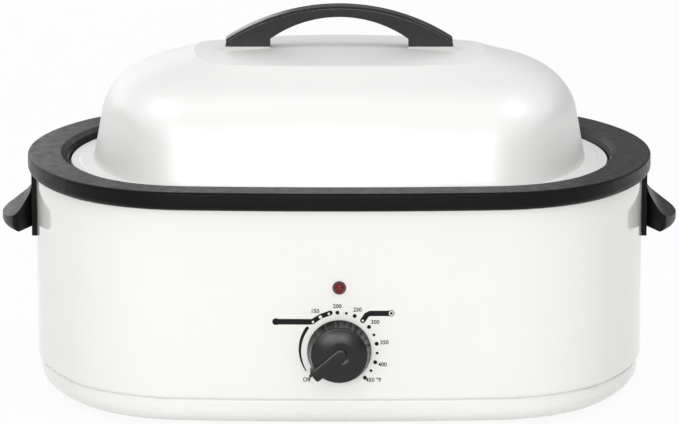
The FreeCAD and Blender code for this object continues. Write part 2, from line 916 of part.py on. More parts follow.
def base_screws():
    screws = [screw("BaseScrew", (x, y, foot_height), "Z", foot_height + 2)
              for x in (-bracket_x, bracket_x) for y in (-bracket_screw_y, bracket_screw_y)]
    group("base_screws", screws)


def outer_wall():
    """Painted steel band round the body, turned in at the seam."""
    run = [(wall_inset, wall_top), (wall_inset, seam_height, wall_bend),
           (wall_inset + seam_flange, seam_height)]
    owner = swept_ring("outer_wall", lambda item: strip(item, at_front(run), sheet_steel))
    front = sketch(owner, "XZ_Plane")
    circle(front, 0, dial_height, bushing_radius + 0.5)
    circle(front, -thermostat_screw_reach, dial_height, screw_hole)
    circle(front, thermostat_screw_reach, dial_height, screw_hole)
    circle(front, 0, lamp_height, bezel_radius - 0.9)
    pocket(owner, front, rim_half_depth, along=True)
    back = sketch(owner, "XZ_Plane")
    circle(back, 0, cord_height, gland_radius + 0.2)
    pocket(owner, back, rim_half_depth)
    ends = sketch(owner, "YZ_Plane")
    circle(ends, -handle_screw_y, handle_screw_height, screw_hole)
    circle(ends, handle_screw_y, handle_screw_height, screw_hole)
    pocket(owner, ends, rim_half_length * 2, both_ways=True)


def rim_ring():
    """Moulded ring over the top of the wall, with a sloped foot that stands on the liner."""
    plate_under = rim_top - rim_plate
    run = [(rim_skirt, skirt_height), (rim_skirt, plate_under), (rim_flat, plate_under),
           (ledge_wall_inset - 3, ledge_under), (ledge_wall_inset, ledge_under),
           (ledge_wall_inset, ledge_height + 1.5), (ledge_wall_inset - 2, rim_top - 2.8, 1.5),
           (rim_flat, rim_top, 3), (0, rim_top, rim_edge), (0, skirt_height, rim_skirt - 1.4)]
    swept_ring("rim_ring", lambda item: outline(item, at_front(run)))


def inner_liner():
    """Aluminised steel well, with the raised ledge that the pan's flange hangs on."""
    lip_inset = wall_inset + sheet_steel + 0.1
    floor_inset = liner_inset + liner_draft * (ledge_height - liner_floor)
    step_inset = ledge_wall_inset + 1.5
    run = [(lip_inset, ledge_under - liner_lip), (lip_inset, ledge_under, 2.5),
           (step_inset, ledge_under, 1.2), (step_inset, ledge_height, 1.2),
           (liner_inset, ledge_height, 3.8), (floor_inset, liner_floor, liner_corner),
           (floor_inset + 30, liner_floor)]
    owner = swept_ring("inner_liner", lambda item: strip(item, at_front(run), -sheet_steel))
    floor_plate(owner, floor_inset + 26, liner_floor - sheet_steel, sheet_steel)


def heater_band(label, low):
    """Flat heating band round the liner, drawn together by two ears at the back."""
    high = low + band_width
    run = [(liner_outside(low), low), (liner_outside(high), high)]
    owner = swept_ring(label, lambda item: strip(item, at_front(run), band_thickness))
    gap = sketch(owner, "XZ_Plane")
    half = band_gap / 2
    rectangle(gap, -half, low - 1, half, high + 1)
    pocket(owner, gap, rim_half_depth)
    ears = sketch(owner, origin=(0, 0, low))
    near = rim_half_depth - liner_outside(high)
    rectangle(ears, half, near, half + band_thickness, near + 11)
    rectangle(ears, -half - band_thickness, near, -half, near + 11)
    pad(owner, ears, band_width)
    holes = sketch(owner, "YZ_Plane")
    circle(holes, near + 6.5, low + band_width / 2, tapped_hole)
    pocket(owner, holes, band_gap * 2, both_ways=True)


def heater_clamps():
    """A bolt and nut through the ears of each band."""
    bolts = []
    nuts = []
    half = band_gap / 2 + band_thickness
    for low in (upper_band_height, lower_band_height):
        y = rim_half_depth - liner_outside(low + band_width) + 6.5
        z = low + band_width / 2
        bolts.append(screw("ClampBolt", (-half, y, z), "X", half * 2 + 5))
        nuts.append(hex_nut("ClampNut", screw_head, tapped_hole, 3, (half, y, z), "X"))
    group("heater_clamp_bolts", bolts)
    group("heater_clamp_nuts", nuts)


def insulation_blanket():
    """Glass-wool blanket between liner and wall, cut away for the controls and the wiring."""
    inner = liner_inset - blanket_gap
    outer = inner - blanket_thickness
    top = rim_top - blanket_drop
    run = [(outer, blanket_bottom), (inner, blanket_bottom), (inner, top), (outer, top)]
    owner = swept_ring("insulation_blanket", lambda item: outline(item, at_front(run)))
    front = sketch(owner, "XZ_Plane")
    rectangle(front, -tube_reach - 5, blanket_bottom - 2, tube_reach + 5, bulb_height + 12)
    pocket(owner, front, rim_half_depth, along=True)
    back = sketch(owner, "XZ_Plane")
    rectangle(back, -band_gap - 5, blanket_bottom - 2, band_gap + 5,
              upper_band_height + band_width + 5)
    pocket(owner, back, rim_half_depth)


# ---------------------------------------------------------------- thermostat, dial and lamp

plate_front = wall_inner - wall_hollow(plate_width / 2)


def thermostat_body():
    """Thermostat on its plate behind the wall, with a bushing through it for the shaft."""
    owner = body("thermostat_body")
    bushing = wall_outer + 1.3
    half = plate_width / 2
    plate = sketch(owner, "XZ_Plane", (0, dial_height, plate_front))
    outline(plate, [(-half, -12, 3), (half, -12, 3), (half, 12, 3), (-half, 12, 3)])
    pad(owner, plate, bracket_sheet, backwards=True)
    box = sketch(owner, "XZ_Plane", (0, dial_height, plate_front - bracket_sheet))
    side = thermostat_width / 2
    outline(box, [(-side, -side, 3), (side, -side, 3), (side, side, 3), (-side, side, 3)])
    pad(owner, box, thermostat_depth, backwards=True)
    rear = sketch(owner, "XZ_Plane",
                  (0, dial_height, plate_front - bracket_sheet - thermostat_depth))
    rectangle(rear, -9.4, -10, -3, -9.2)
    rectangle(rear, 3, -10, 9.4, -9.2)
    pad(owner, rear, 8, backwards=True)
    neck = sketch(owner, "XZ_Plane", (0, dial_height, plate_front))
    circle(neck, 0, 0, bushing_radius)
    pad(owner, neck, bushing - plate_front)
    bore = sketch(owner, "XZ_Plane", (0, dial_height, bushing))
    circle(bore, 0, 0, shaft_radius + shaft_clearance)
    pocket(owner, bore, thermostat_depth - 1)
    holes = sketch(owner, "XZ_Plane", (0, dial_height, plate_front))
    circle(holes, -thermostat_screw_reach, 0, tapped_hole)
    circle(holes, thermostat_screw_reach, 0, tapped_hole)
    pocket(owner, holes, 8)


def thermostat_screws():
    screws = [screw("ThermostatScrew", (x, -wall_outer, dial_height), "Y", as_size(8),
                    as_size(3.5), as_size(1.8))
              for x in (-thermostat_screw_reach, thermostat_screw_reach)]
    group("thermostat_screws", screws)


def bulb_y():
    """Distance of the sensing bulb's centre from the middle plane."""
    return rim_half_depth - liner_outside(bulb_height + 12) + bulb_radius + 0.3


def thermostat_capillary():
    """Sensing bulb against the liner and its fine tube back to the thermostat."""
    half = bulb_length / 2
    y = -bulb_y()
    rear = -(plate_front - bracket_sheet - thermostat_depth + 6)
    drop = dial_height + 9
    bulb = rod("Bulb", bulb_radius, bulb_length, (-half, y, bulb_height), "X")
    tube = bent_rod("CapillaryTube",
                    [(half - 1, y, bulb_height), (tube_reach, y, bulb_height),
                     (tube_reach, rear, bulb_height), (tube_reach, rear, drop),
                     (thermostat_width / 2 + shaft_clearance, rear, drop)], tube_radius, 5)
    join("thermostat_capillary", [bulb, tube])


def pipe_clip(label, side, height, radius, stations, width):
    """Strap that holds a round part against the liner's outer face."""
    owner = body(label)
    face = rim_half_depth - liner_outside(height + 12)
    far = face + radius * 2 + 0.6
    over = radius + 0.5
    run = [(face, height + 12), (face, height + over, 1), (far, height + over, 2),
           (far, height - over, 2), (face, height - over, 1), (face, height - 12)]
    run = [(corner[0] * side,) + tuple(corner[1:]) for corner in run]
    for station in stations:
        section = sketch(owner, "YZ_Plane", (0, 0, station))
        strip(section, run, as_size(0.6 * side))
        pad(owner, section, width, both_ways=True)


def thermal_fuse():
    """Safety cut-out clipped to the back of the liner."""
    half = fuse_length / 2
    y = rim_half_depth - liner_outside(bulb_height + 12) + fuse_radius + 0.3
    can = rod("FuseCan", fuse_radius, fuse_length, (-half, y, bulb_height), "X")
    lead = rod("FuseLead", tube_radius, fuse_length * 2, (-fuse_length, y, bulb_height), "X")
    join("thermal_fuse", [can, lead])


knob_back = -(wall_outer + knob_gap)
knob_front = knob_back - knob_depth


def pointer_point(along, aside):
    """A point of the dial's face, measured along and across the pointer."""
    c = cosine(off_angle)
    s = sine(off_angle)
    return (along * c - aside * s, along * s + aside * c)


def pointer_outline(item, tail, nose, tail_round, nose_round):
    half = pointer_width / 2
    corners = [(tail, -half, tail_round), (nose, -half, nose_round),
               (nose, half, nose_round), (tail, half, tail_round)]
    outline(item, [pointer_point(along, aside) + (radius,) for along, aside, radius in corners])


def control_knob():
    """Hollow dial knob: thin skirt, domed cap, boss for the shaft and a raised pointer bar."""
    owner = body("control_knob")
    profile = sketch(owner, "YZ_Plane", (0, dial_height, 0))
    skirt_front = knob_back - skirt_thickness
    bore = shaft_radius + shaft_clearance
    bore_end = knob_front + knob_wall + 0.6
    roof = knob_front + knob_wall
    outline(profile, [(knob_front, 0), (knob_front + 1, cap_radius * 0.55, 30),
                      (knob_front + 3.6, cap_radius - 1.6, 4), (skirt_front - 1, cap_radius, 0.8),
                      (skirt_front, skirt_radius - 1.4), (skirt_front + 1, skirt_radius, 0.5),
                      (knob_back, skirt_radius), (knob_back, skirt_radius - 2),
                      (knob_back - 1, cap_radius - knob_wall),
                      (roof, cap_radius - knob_wall - 3, 2.5), (roof, bore * 2),
                      (knob_back - 0.8, bore * 2), (knob_back - 0.8, bore), (bore_end, bore),
                      (bore_end, 0)])
    turn(owner, profile, "H_Axis")
    bar = sketch(owner, "XZ_Plane", (0, dial_height, -(knob_front + knob_wall - 0.6)))
    pointer_outline(bar, -pointer_tail, pointer_nose, pointer_width * 0.2, pointer_width * 0.4)
    pad(owner, bar, knob_wall - 0.6 + pointer_rise)
    nose = sketch(owner, "XZ_Plane", (0, dial_height, -(skirt_front + 1)))
    pointer_outline(nose, cap_radius - 1.5, pointer_nose, 0.5, pointer_width * 0.4)
    pad(owner, nose, -(knob_front + knob_wall) + skirt_front + 1.5)


def thermostat_shaft():
    """Dial shaft with a flat on its front end."""
    owner = body("thermostat_shaft")
    rear = wall_outer + 1.3 - thermostat_depth + 1.5
    front = -(knob_front + knob_wall + 1)
    section = sketch(owner, "XZ_Plane", (0, dial_height, rear))
    circle(section, 0, 0, shaft_radius)
    pad(owner, section, front - rear)
    flat = sketch(owner, "XZ_Plane", (0, dial_height, front))
    rectangle(flat, -shaft_radius - 1, shaft_radius * 0.6, shaft_radius + 1, shaft_radius + 1)
    pocket(owner, flat, 12)


def knob_spring_clip():
    """Leaf spring between the shaft's flat and the knob's bore."""
    owner = body("knob_spring_clip")
    section = sketch(owner, "YZ_Plane", (0, dial_height, 0))
    front = knob_front + knob_wall + 1.5
    low = shaft_radius * 0.6 + 0.05
    strip(section, [(front, low), (front + 4.5, low + 0.35, 3), (front + 9, low)], as_size(0.4))
    pad(owner, section, shaft_radius * 0.7, both_ways=True)


def indicator_lamp():
    """Bezel, jewel, neon lamp and the spring washer that holds them in the wall."""
    face = -wall_outer
    seat = face - 1.4
    tube = bezel_radius - 1
    bezel = body("indicator_bezel")
    profile = sketch(bezel, "YZ_Plane", (0, lamp_height, 0))
    outline(profile, [(seat, lamp_bore), (seat, bezel_radius, 0.8), (face, bezel_radius),
                      (face, tube), (face + 14, tube), (face + 14, lamp_bore)])
    turn(bezel, profile, "H_Axis")
    lens = body("indicator_lens")
    profile = sketch(lens, "YZ_Plane", (0, lamp_height, 0))
    outline(profile, [(face + 6, 0), (face + 6, lamp_bore - 0.05), (seat, lamp_bore - 0.05),
                      (seat, lens_radius), (seat - 0.8, lens_radius),
                      (seat - 3.4, lens_radius * 0.75, 2.4), (seat - 3.4, 0)])
    turn(lens, profile, "H_Axis")
    lamp = body("neon_lamp")
    profile = sketch(lamp, "YZ_Plane", (0, lamp_height, 0))
    outline(profile, [(face + 6.6, 0), (face + 6.6, lamp_bore - 1, 2), (face + 20, lamp_bore - 1),
                      (face + 20, 0)])
    turn(lamp, profile, "H_Axis")
    clip_radius = bezel_radius + 2.3
    clip = ring("IndicatorRing", clip_radius, tube + 0.05, sheet_steel,
                (0, wall_hollow(clip_radius) - wall_inner, lamp_height), "Y")
    node(clip, "indicator_clip")


# ---------------------------------------------------------------- wiring entry

def terminal_block():
    """Moulded three-way terminal block on the base, and its screws."""
    owner = body("terminal_block")
    half = terminal_length / 2
    deep = terminal_depth / 2
    step = terminal_length * 0.3
    base = sketch(owner, origin=(0, terminal_y, base_floor))
    outline(base, [(-half, -deep, 2), (half, -deep, 2), (half, deep, 2), (-half, deep, 2)])
    pad(owner, base, terminal_height)
    tops = sketch(owner, origin=(0, terminal_y, base_floor + terminal_height))
    for x in (-step, as_size(0), step):
        circle(tops, x, 0, screw_head)
    pocket(owner, tops, head_height + 1.5)
    threads = sketch(owner, origin=(0, terminal_y, base_floor + terminal_height))
    for x in (-step, as_size(0), step):
        circle(threads, x, 0, tapped_hole)
    pocket(owner, threads, terminal_height * 0.7)
    entries = sketch(owner, "XZ_Plane", (0, base_floor, 0))
    for x in (-step, as_size(0), step):
        circle(entries, x, terminal_height * 0.3, 2.5)
    pocket(owner, entries, terminal_y - 2)
    seat = base_floor + terminal_height - head_height - 1.5
    screws = []
    for x in (-step, as_size(0), step):
        shank = rod("TerminalShank", screw_radius, 7, (x, terminal_y, seat - 7))
        head = rod("TerminalHead", screw_head - 0.4, head_height, (x, terminal_y, seat))
        item = doc.addObject("Part::MultiFuse", "TerminalScrew")
        item.Shapes = [shank, head]
        screws.append(item)
    group("terminal_screws", screws)


def earth_screw():
    node(screw("EarthScrew", (terminal_length, terminal_y, foot_height), "Z", foot_height + 4),
         "earth_screw")


def cord_gland():
    """Round bushing in the back of the wall that the mains lead comes through."""
    owner = body("cord_gland")
    profile = sketch(owner, "YZ_Plane", (0, cord_height, 0))
    inner = wall_outer - 9
    tip = wall_outer + gland_snout
    throat = wall_outer + 2
    outline(profile, [(throat, gland_bore), (throat, gland_bore + gland_flare),
                      (inner, gland_bore + gland_flare), (inner, gland_radius),
                      (wall_outer, gland_radius),
                      (wall_outer, gland_flange), (wall_outer + 3, gland_flange, 1),
                      (wall_outer + 3, gland_radius - 1), (tip, gland_radius - 2.2, 0.8),
                      (tip, gland_bore)])
    turn(owner, profile, "H_Axis")
    nut_radius = gland_flange + 2
    seat = wall_inner - wall_hollow(nut_radius) - gland_nut_depth
    nut = hex_nut("GlandHex", nut_radius, gland_radius + shaft_clearance, gland_nut_depth,
                  (0, seat, cord_height), "Y")
    node(nut, "gland_nut")


# ---------------------------------------------------------------- side handles

def side_handle(label, side):
    """Scooped grip: flares out of a plate on the wall, sweeps down and out, hollow underneath."""
    owner = body(label)
    face = mount_plate_face
    corner_x = face + grip_flare
    centre = grip_reach - grip_radius
    grip_bottom = grip_top - grip_thickness
    grip = sketch(owner, origin=(0, 0, grip_bottom))
    bow(grip, (face - 2) * side, grip_half_width, centre * side, grip_radius, side)
    pad(owner, grip, mount_plate_top - grip_bottom)
    for end in (-1, 1):
        slant = sketch(owner, origin=(0, 0, grip_bottom))
        wide = grip_half_width + 2
        far = face + (corner_x - face) * (wide - grip_root) / (grip_half_width - 1 - grip_root)
        outline(slant, [((face - 3) * side, grip_root * end), (face * side, grip_root * end),
                        (far * side, wide * end), ((face - 3) * side, wide * end)])
        flare = pocket(owner, slant, mount_plate_top - grip_bottom, along=True)
    outermost = (grip_half_width - 5).value

    def corner_edge(edge):
        ends = edge.Vertexes
        upright = isinstance(edge.Curve, Part.Line) and abs(ends[0].X - ends[-1].X) < 0.01
        return upright and all(abs(vertex.Y) > outermost for vertex in ends)

    round_edges(owner, flare, corner_edge, grip_corner)
    sky = mount_plate_top + 1
    sweep_down = [(face - 1.6, sky), (face - 1.6, mount_plate_top - 5),
                  (face + 1.6, mount_plate_top - 17, 14), (corner_x, grip_top, 26),
                  (grip_reach + 2, grip_top - grip_fall), (grip_reach + 2, sky)]
    above = sketch(owner, "XZ_Plane")
    outline(above, [(corner[0] * side,) + tuple(corner[1:]) for corner in sweep_down])
    pocket(owner, above, grip_half_width * 2 + 4, both_ways=True)
    edge_cut = sketch(owner, "XZ_Plane", (centre * side, grip_bottom, 0))
    outline(edge_cut, [((grip_radius + 2) * side, -2), ((grip_radius + 2) * side, grip_round + 1),
                       (grip_radius * side, grip_round + 1), (grip_radius * side, 0, grip_round),
                       ((grip_radius - grip_round - 1) * side, 0),
                       ((grip_radius - grip_round - 1) * side, -2)])
    turn(owner, edge_cut, "V_Axis", "Groove")
    inside = face + grip_wall
    hollow = sketch(owner, origin=(0, 0, grip_bottom))
    root_half = grip_root - 5
    wide_half = grip_half_width - 14
    tip_half = grip_half_width * 0.3
    outline(hollow, [(inside * side, -root_half), ((corner_x - 2) * side, -wide_half, 4),
                     ((grip_reach - grip_lip) * side, -tip_half, 20),
                     ((grip_reach - grip_lip) * side, tip_half, 20),
                     ((corner_x - 2) * side, wide_half, 4), (inside * side, root_half)])
    pocket(owner, hollow, grip_thickness - grip_roof, along=True)
    plate = sketch(owner, origin=(0, 0, mount_plate_bottom))
    bow(plate, face * side, mount_plate_width / 2, end_centre * side,
        end_radius - wall_inset + 0.05, side)
    pad(owner, plate, mount_plate_top - mount_plate_bottom)
    core = sketch(owner, "XZ_Plane")
    core_end = corner_x - 1.2
    outline(core, [(inside * side, grip_bottom - 1), (inside * side, grip_top + 6, 2),
                   (core_end * side, grip_top - 5, 3), (core_end * side, grip_bottom - 1)])
    pocket(owner, core, handle_screw_y * 2 - 9, both_ways=True)
    holes = sketch(owner, "YZ_Plane")
    circle(holes, -handle_screw_y, handle_screw_height, tapped_hole)
    circle(holes, handle_screw_y, handle_screw_height, tapped_hole)
    pocket(owner, holes, (face + 7) * 2, both_ways=True)


def side_handle_screws():
    inner = end_radius - wall_inset - sheet_steel
    reach = end_centre + root(inner * inner - (handle_screw_y + screw_head)
                              * (handle_screw_y + screw_head)) - 0.05
    screws = []
    for side, direction in ((1, "X"), (-1, "-X")):
        for y in (-handle_screw_y, handle_screw_y):
            screws.append(screw("HandleScrew", (reach * side, y, handle_screw_height),
                                direction, handle_screw_length))
    group("side_handle_screws", screws)


# ---------------------------------------------------------------- roasting pan and rack

def roasting_pan():
    """Lift-out enamelled pan that hangs by its flange on the ledge of the liner."""
    top = ledge_height + pan_sheet
    floor_inset = pan_inset + pan_draft * (top - pan_floor)
    run = [(pan_flange_inset, top), (pan_inset, top, 5), (floor_inset, pan_floor, pan_corner),
           (floor_inset + 34, pan_floor)]
    owner = swept_ring("roasting_pan", lambda item: strip(item, at_front(run), -pan_sheet))
    floor_plate(owner, floor_inset + 31, pan_floor - pan_sheet, pan_sheet)


def roasting_rack():
    """Welded wire rack with fixed lifting loops at its ends."""
    frame = doc.addObject("PartDesign::Body", "RackFrame")
    path = sketch(frame, origin=(0, 0, rack_height))
    inset_oval(path, rack_inset)
    section = sketch(frame, "YZ_Plane", (rack_inset - rim_half_depth, rack_height, 0))
    circle(section, 0, 0, frame_wire)
    sweep(frame, section, path)
    pieces = [frame]
    low = rack_height - cross_wire * 1.8
    depth = rim_half_depth - rack_inset
    bend = (front_radius - rack_inset) * 2
    for step in range(-4, 5):
        x = rack_pitch * step
        half = depth - x * x / bend
        pieces.append(rod("CrossWire", cross_wire, half * 2, (x, -half, low), "Y"))
    length = rim_half_length - rack_inset
    for y in (-rack_loop_half, rack_loop_half):
        half = length - y * y / ((end_radius - rack_inset) * 2)
        pieces.append(rod("LongWire", cross_wire, half * 2, (-half, y, rack_height), "X"))
        for side in (-1, 1):
            pieces.append(rod("RackLeg", loop_wire, rack_height - pan_floor,
                              (rack_leg_x * side, y, pan_floor)))
    for side in (-1, 1):
        x = (length - 4) * side
        pieces.append(bent_rod("LiftLoop", [(x, -rack_loop_half, rack_height),
                                            (x, -rack_loop_half, rack_loop_top),
                                            (x, rack_loop_half, rack_loop_top),
                                            (x, rack_loop_half, rack_height)],
                               loop_wire, rack_loop_bend.value))
    join("roasting_rack", pieces)


# ---------------------------------------------------------------- lid

lid_base = ledge_height + pan_sheet
dome_base = lid_base + lid_step
dome_length = rim_half_length - dome_inset
dome_depth = rim_half_depth - dome_inset


def dome_reach(foot, shoulder, slope, height):
    """Half width of the dome at a height: drafted wall, round shoulder, straight roof."""
    lean = root(1 + dome_draft * dome_draft)
    start = foot - dome_draft * (shoulder_start - dome_base)
    centre = start - shoulder / lean
    centre_height = shoulder_start - shoulder * dome_draft / lean
    end = centre + shoulder * sine(slope)
    end_height = centre_height + shoulder * cosine(slope)
    if height.value <= shoulder_start.value:
        return foot - dome_draft * (height - dome_base)
    if height.value <= end_height.value:
        rise = height - centre_height
        return centre + root(shoulder * shoulder - rise * rise)
    return end - (height - end_height) * cosine(slope) / sine(slope)


def dome_section(name, height, gap):
    """Level outline of the dome at a height; gap moves it in and down for the inner face."""
    a = dome_reach(dome_length, end_shoulder, end_roof_slope, height) - gap
    b = dome_reach(dome_depth, side_shoulder, side_roof_slope, height) - gap
    share = as_size(0)
    if height.value > shoulder_start.value:
        share = (height - shoulder_start) / (crown_top - shoulder_start)
    item = free_sketch(name, height - gap)
    left = (1 - share) * (1 - share)
    r1 = b * (3.5 + 8.1 * left)
    r2 = b * (0.65 - 0.14 * left)
    r3 = b * (1.7 - 0.343 * left)
    oval(item, a, b, r1, r2, r3)
    return item


def dome_solid(name, gap):
    """The dome as a solid, up to its crown; gap is the sheet left outside it."""
    layers = 11
    tall = crown_top + 1.5 - dome_base
    heights = [dome_base + tall * (step / layers) for step in range(layers + 1)]
    inward = gap * 0.85
    loft = doc.addObject("Part::Loft", name + "Loft")
    loft.Sections = [dome_section(name + "Section", height, inward) for height in heights]
    loft.Solid = True
    crown = doc.addObject("PartDesign::Body", name + "Crown")
    long_radius = crown_length_radius - gap
    deep_radius = crown_depth_radius - gap
    half = rim_half_depth
    profile = sketch(crown, "YZ_Plane", (0, crown_top - crown_length_radius, 0))
    crown_outline(profile, long_radius - 140, half, long_radius - deep_radius, deep_radius)
    cap = turn(crown, profile, "H_Axis")
    cap.Midplane = True
    cap.Angle = 36
    item = doc.addObject("Part::Common", name)
    item.Base = loft
    item.Tool = crown
    return item


def crown_outline(item, low, half_width, centre, radius):
    """A flat bottom, upright sides and an arched top."""
    lean = math.asin(half_width.value / radius.value)
    top = math.pi / 2
    arch = arc_between(item, (0, centre.value), radius.value, top - lean, top + lean)
    side = centre.value + radius.value * math.cos(lean)
    wide = half_width.value
    ends = [((-wide, low.value), (wide, low.value)), ((wide, low.value), (wide, side)),
            ((-wide, side), (-wide, low.value))]
    flat, right, left = [item.addGeometry(Part.LineSegment(Vector(*a, 0), Vector(*b, 0)), False)
                         for a, b in ends]
    ties = Ties(item)
    ties.fix(flat, 1, -half_width, low)
    ties.fix(flat, 2, half_width, low)
    ties.add("Coincident", flat, 2, right, 1)
    ties.add("Coincident", right, 2, arch, 1)
    ties.add("Coincident", arch, 2, left, 1)
    ties.add("Coincident", left, 2, flat, 1)
    ties.add("Vertical", right)
    ties.add("Vertical", left)
    ties.fix(arch, 3, 0, centre)
    ties.measure("Radius", arch, radius)
    ties.apply()


def lid_shell():
    """Drawn steel lid: stepped flange, drafted wall, soft shoulder, creased crown."""
    outer = dome_solid("DomeOutside", as_size(0))
    inner = dome_solid("DomeInside", lid_sheet)
    shell = cut("DomeShell", outer, inner)
    flange = doc.addObject("PartDesign::Body", "LidFlange")
    path = sketch(flange)
    inset_oval(path, 0)
    section = sketch(flange, "YZ_Plane")
    step = lid_flange_inset + lid_flange_width * 0.37
    run = [(lid_flange_inset, lid_base), (step, lid_base, 0.8),
           (step + lid_step * 2, dome_base, 1.5), (dome_inset + 0.5, dome_base)]
    strip(section, at_front(run), lid_sheet)
    sweep(flange, section, path)
    whole = doc.addObject("Part::MultiFuse", "LidWhole")
    whole.Shapes = [shell, flange]
    holes = doc.addObject("Part::MultiFuse", "LidHoles")
    holes.Shapes = [rod("LidHole", screw_hole, lid_sheet * 20,
                        (handle_screw_x * side, 0, crown_top - lid_sheet * 15))
                    for side in (-1, 1)]
    node(cut("LidPierced", whole, holes), "lid_shell")
    return outer


def handle_section(item):
    """Arched bar between two feet: an arch above, a deeper arch below."""
    over = handle_top - handle_arch
    under = handle_under - handle_arch_under
    out_x = handle_reach.value
    in_x = handle_opening.value
    foot = handle_foot.value
    out_z = over.value + math.sqrt(handle_arch.value ** 2 - out_x ** 2)
    in_z = under.value + math.sqrt(handle_arch_under.value ** 2 - in_x ** 2)
    ends = [((-out_x, out_z), (-out_x, foot)), ((-out_x, foot), (-in_x, foot)),
            ((-in_x, foot), (-in_x, in_z)), ((in_x, in_z), (in_x, foot)),
            ((in_x, foot), (out_x, foot)), ((out_x, foot), (out_x, out_z))]
    lines = [item.addGeometry(Part.LineSegment(Vector(*a, 0), Vector(*b, 0)), False)
             for a, b in ends]
    left, left_foot, left_inner, right_inner, right_foot, right = lines
    lean_in = math.asin(in_x / handle_arch_under.value)
    lean_out = math.asin(out_x / handle_arch.value)
    top = math.pi / 2
    lower = arc_between(item, (0, under.value), handle_arch_under.value,
                        top - lean_in, top + lean_in)
    upper = arc_between(item, (0, over.value), handle_arch.value, top - lean_out, top + lean_out)
    ties = Ties(item)
    ties.fix(left_foot, 1, -handle_reach, handle_foot)
    ties.fix(left_foot, 2, -handle_opening, handle_foot)
    ties.fix(right_foot, 1, handle_opening, handle_foot)
    ties.fix(right_foot, 2, handle_reach, handle_foot)
    ties.add("Coincident", left, 2, left_foot, 1)
    ties.add("Coincident", left_foot, 2, left_inner, 1)
    ties.add("Coincident", left_inner, 2, lower, 2)
    ties.add("Coincident", lower, 1, right_inner, 1)
    ties.add("Coincident", right_inner, 2, right_foot, 1)
    ties.add("Coincident", right_foot, 2, right, 1)
    ties.add("Coincident", right, 2, upper, 1)
    ties.add("Coincident", upper, 2, left, 1)
    for line in (left, left_inner, right_inner, right):
        ties.add("Vertical", line)
    ties.fix(lower, 3, 0, under)
    ties.fix(upper, 3, 0, over)
    ties.measure("Radius", lower, handle_arch_under)
    ties.measure("Radius", upper, handle_arch)
    ties.apply()


def lid_handle():
    """Arched moulded handle, held from inside by a screw in each foot."""
    owner = body("lid_handle")
    section = sketch(owner, "XZ_Plane")
    handle_section(section)
    arch = pad(owner, section, handle_depth, both_ways=True)
    radius = handle_arch.value

    def arch_edge(edge):
        return isinstance(edge.Curve, Part.Circle) and abs(edge.Curve.Radius - radius) < 0.01

    round_edges(owner, arch, arch_edge, handle_edge)
    holes = sketch(owner, origin=(0, 0, handle_foot))
    circle(holes, -handle_screw_x, 0, tapped_hole)
    circle(holes, handle_screw_x, 0, tapped_hole)
    pocket(owner, holes, handle_screw_bite + 3, along=True)


def lid_handle_fixings(dome):
    """Wedge gaskets under the feet, and the screws and washers inside the lid."""
    seat = handle_screw_x + washer_radius
    washer_top = crown_top - lid_sheet - seat * seat / (crown_length_radius * 2) - 0.2
    washer_under = washer_top - washer_thickness
    depth = handle_reach * handle_reach / (crown_length_radius * 2) + 6
    gaskets = []
    screws = []
    washers = []
    for side in (-1, 1):
        length = handle_reach - handle_opening + 1
        low_x = handle_opening if side > 0 else -handle_reach - 1
        wedge = block("GasketBlock", (length, handle_depth + 1, depth),
                      (low_x, -(handle_depth + 1) / 2, handle_foot - depth))
        x = handle_screw_x * side
        hole = rod("GasketHole", screw_hole, depth + 2, (x, 0, handle_foot - depth - 1))
        gaskets.append(cut("Gasket", cut("GasketWedge", wedge, dome), hole))
        screws.append(screw("LidScrew", (x, as_size(0), washer_under), "Z",
                            handle_foot + handle_screw_bite - washer_under))
        washers.append(ring("Washer", washer_radius, tapped_hole, washer_thickness,
                            (x, 0, washer_under)))
    group("lid_handle_gaskets", gaskets)
    group("lid_handle_screws", screws)
    group("lid_handle_washers", washers)


# ---------------------------------------------------------------- build and write

def build():
    base_pan()
    feet()
    liner_brackets()
    base_screws()
    outer_wall()
    rim_ring()
    inner_liner()
    heater_band("heater_band_upper", upper_band_height)
    heater_band("heater_band_lower", lower_band_height)
    heater_clamps()
    insulation_blanket()
    thermostat_body()
    thermostat_screws()
    thermostat_capillary()
    pipe_clip("bulb_clip", -1, bulb_height, bulb_radius, (-bulb_length / 3, bulb_length / 3), 6)
    thermal_fuse()
    pipe_clip("fuse_clip", 1, bulb_height, fuse_radius, (as_size(0),), 8)
    thermostat_shaft()
    control_knob()
    knob_spring_clip()
    indicator_lamp()
    terminal_block()
    earth_screw()
    cord_gland()
    side_handle("side_handle_right", 1)
    side_handle("side_handle_left", -1)
    side_handle_screws()
    roasting_pan()
    roasting_rack()
    dome = lid_shell()
    lid_handle()
    lid_handle_fixings(dome)
    doc.recompute()


def check():
    """Stop if any object failed or any sub-part isn't a sound solid."""
    for item in doc.Objects:
        if "Invalid" in item.State or "Error" in item.State:
            raise RuntimeError("%s: %s" % (item.Label, item.State))
    for label, item in nodes.items():
        if item.Shape.isNull() or not item.Shape.isValid() or not item.Shape.Solids:
            raise RuntimeError("%s has no sound solid" % label)


def write():
    os.makedirs("parts", exist_ok=True)
    for label, item in nodes.items():
        item.Shape.exportStep("parts/%s.step" % label)
        print(label, len(item.Shape.Solids), round(item.Shape.Volume, 1))


build()
check()
write()
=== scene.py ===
"""Electric roaster oven: finishes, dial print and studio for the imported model."""
import json
import math

import bmesh
import bpy
from bpy.props import FloatProperty, FloatVectorProperty, PointerProperty
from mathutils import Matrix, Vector
from mathutils.bvhtree import BVHTree

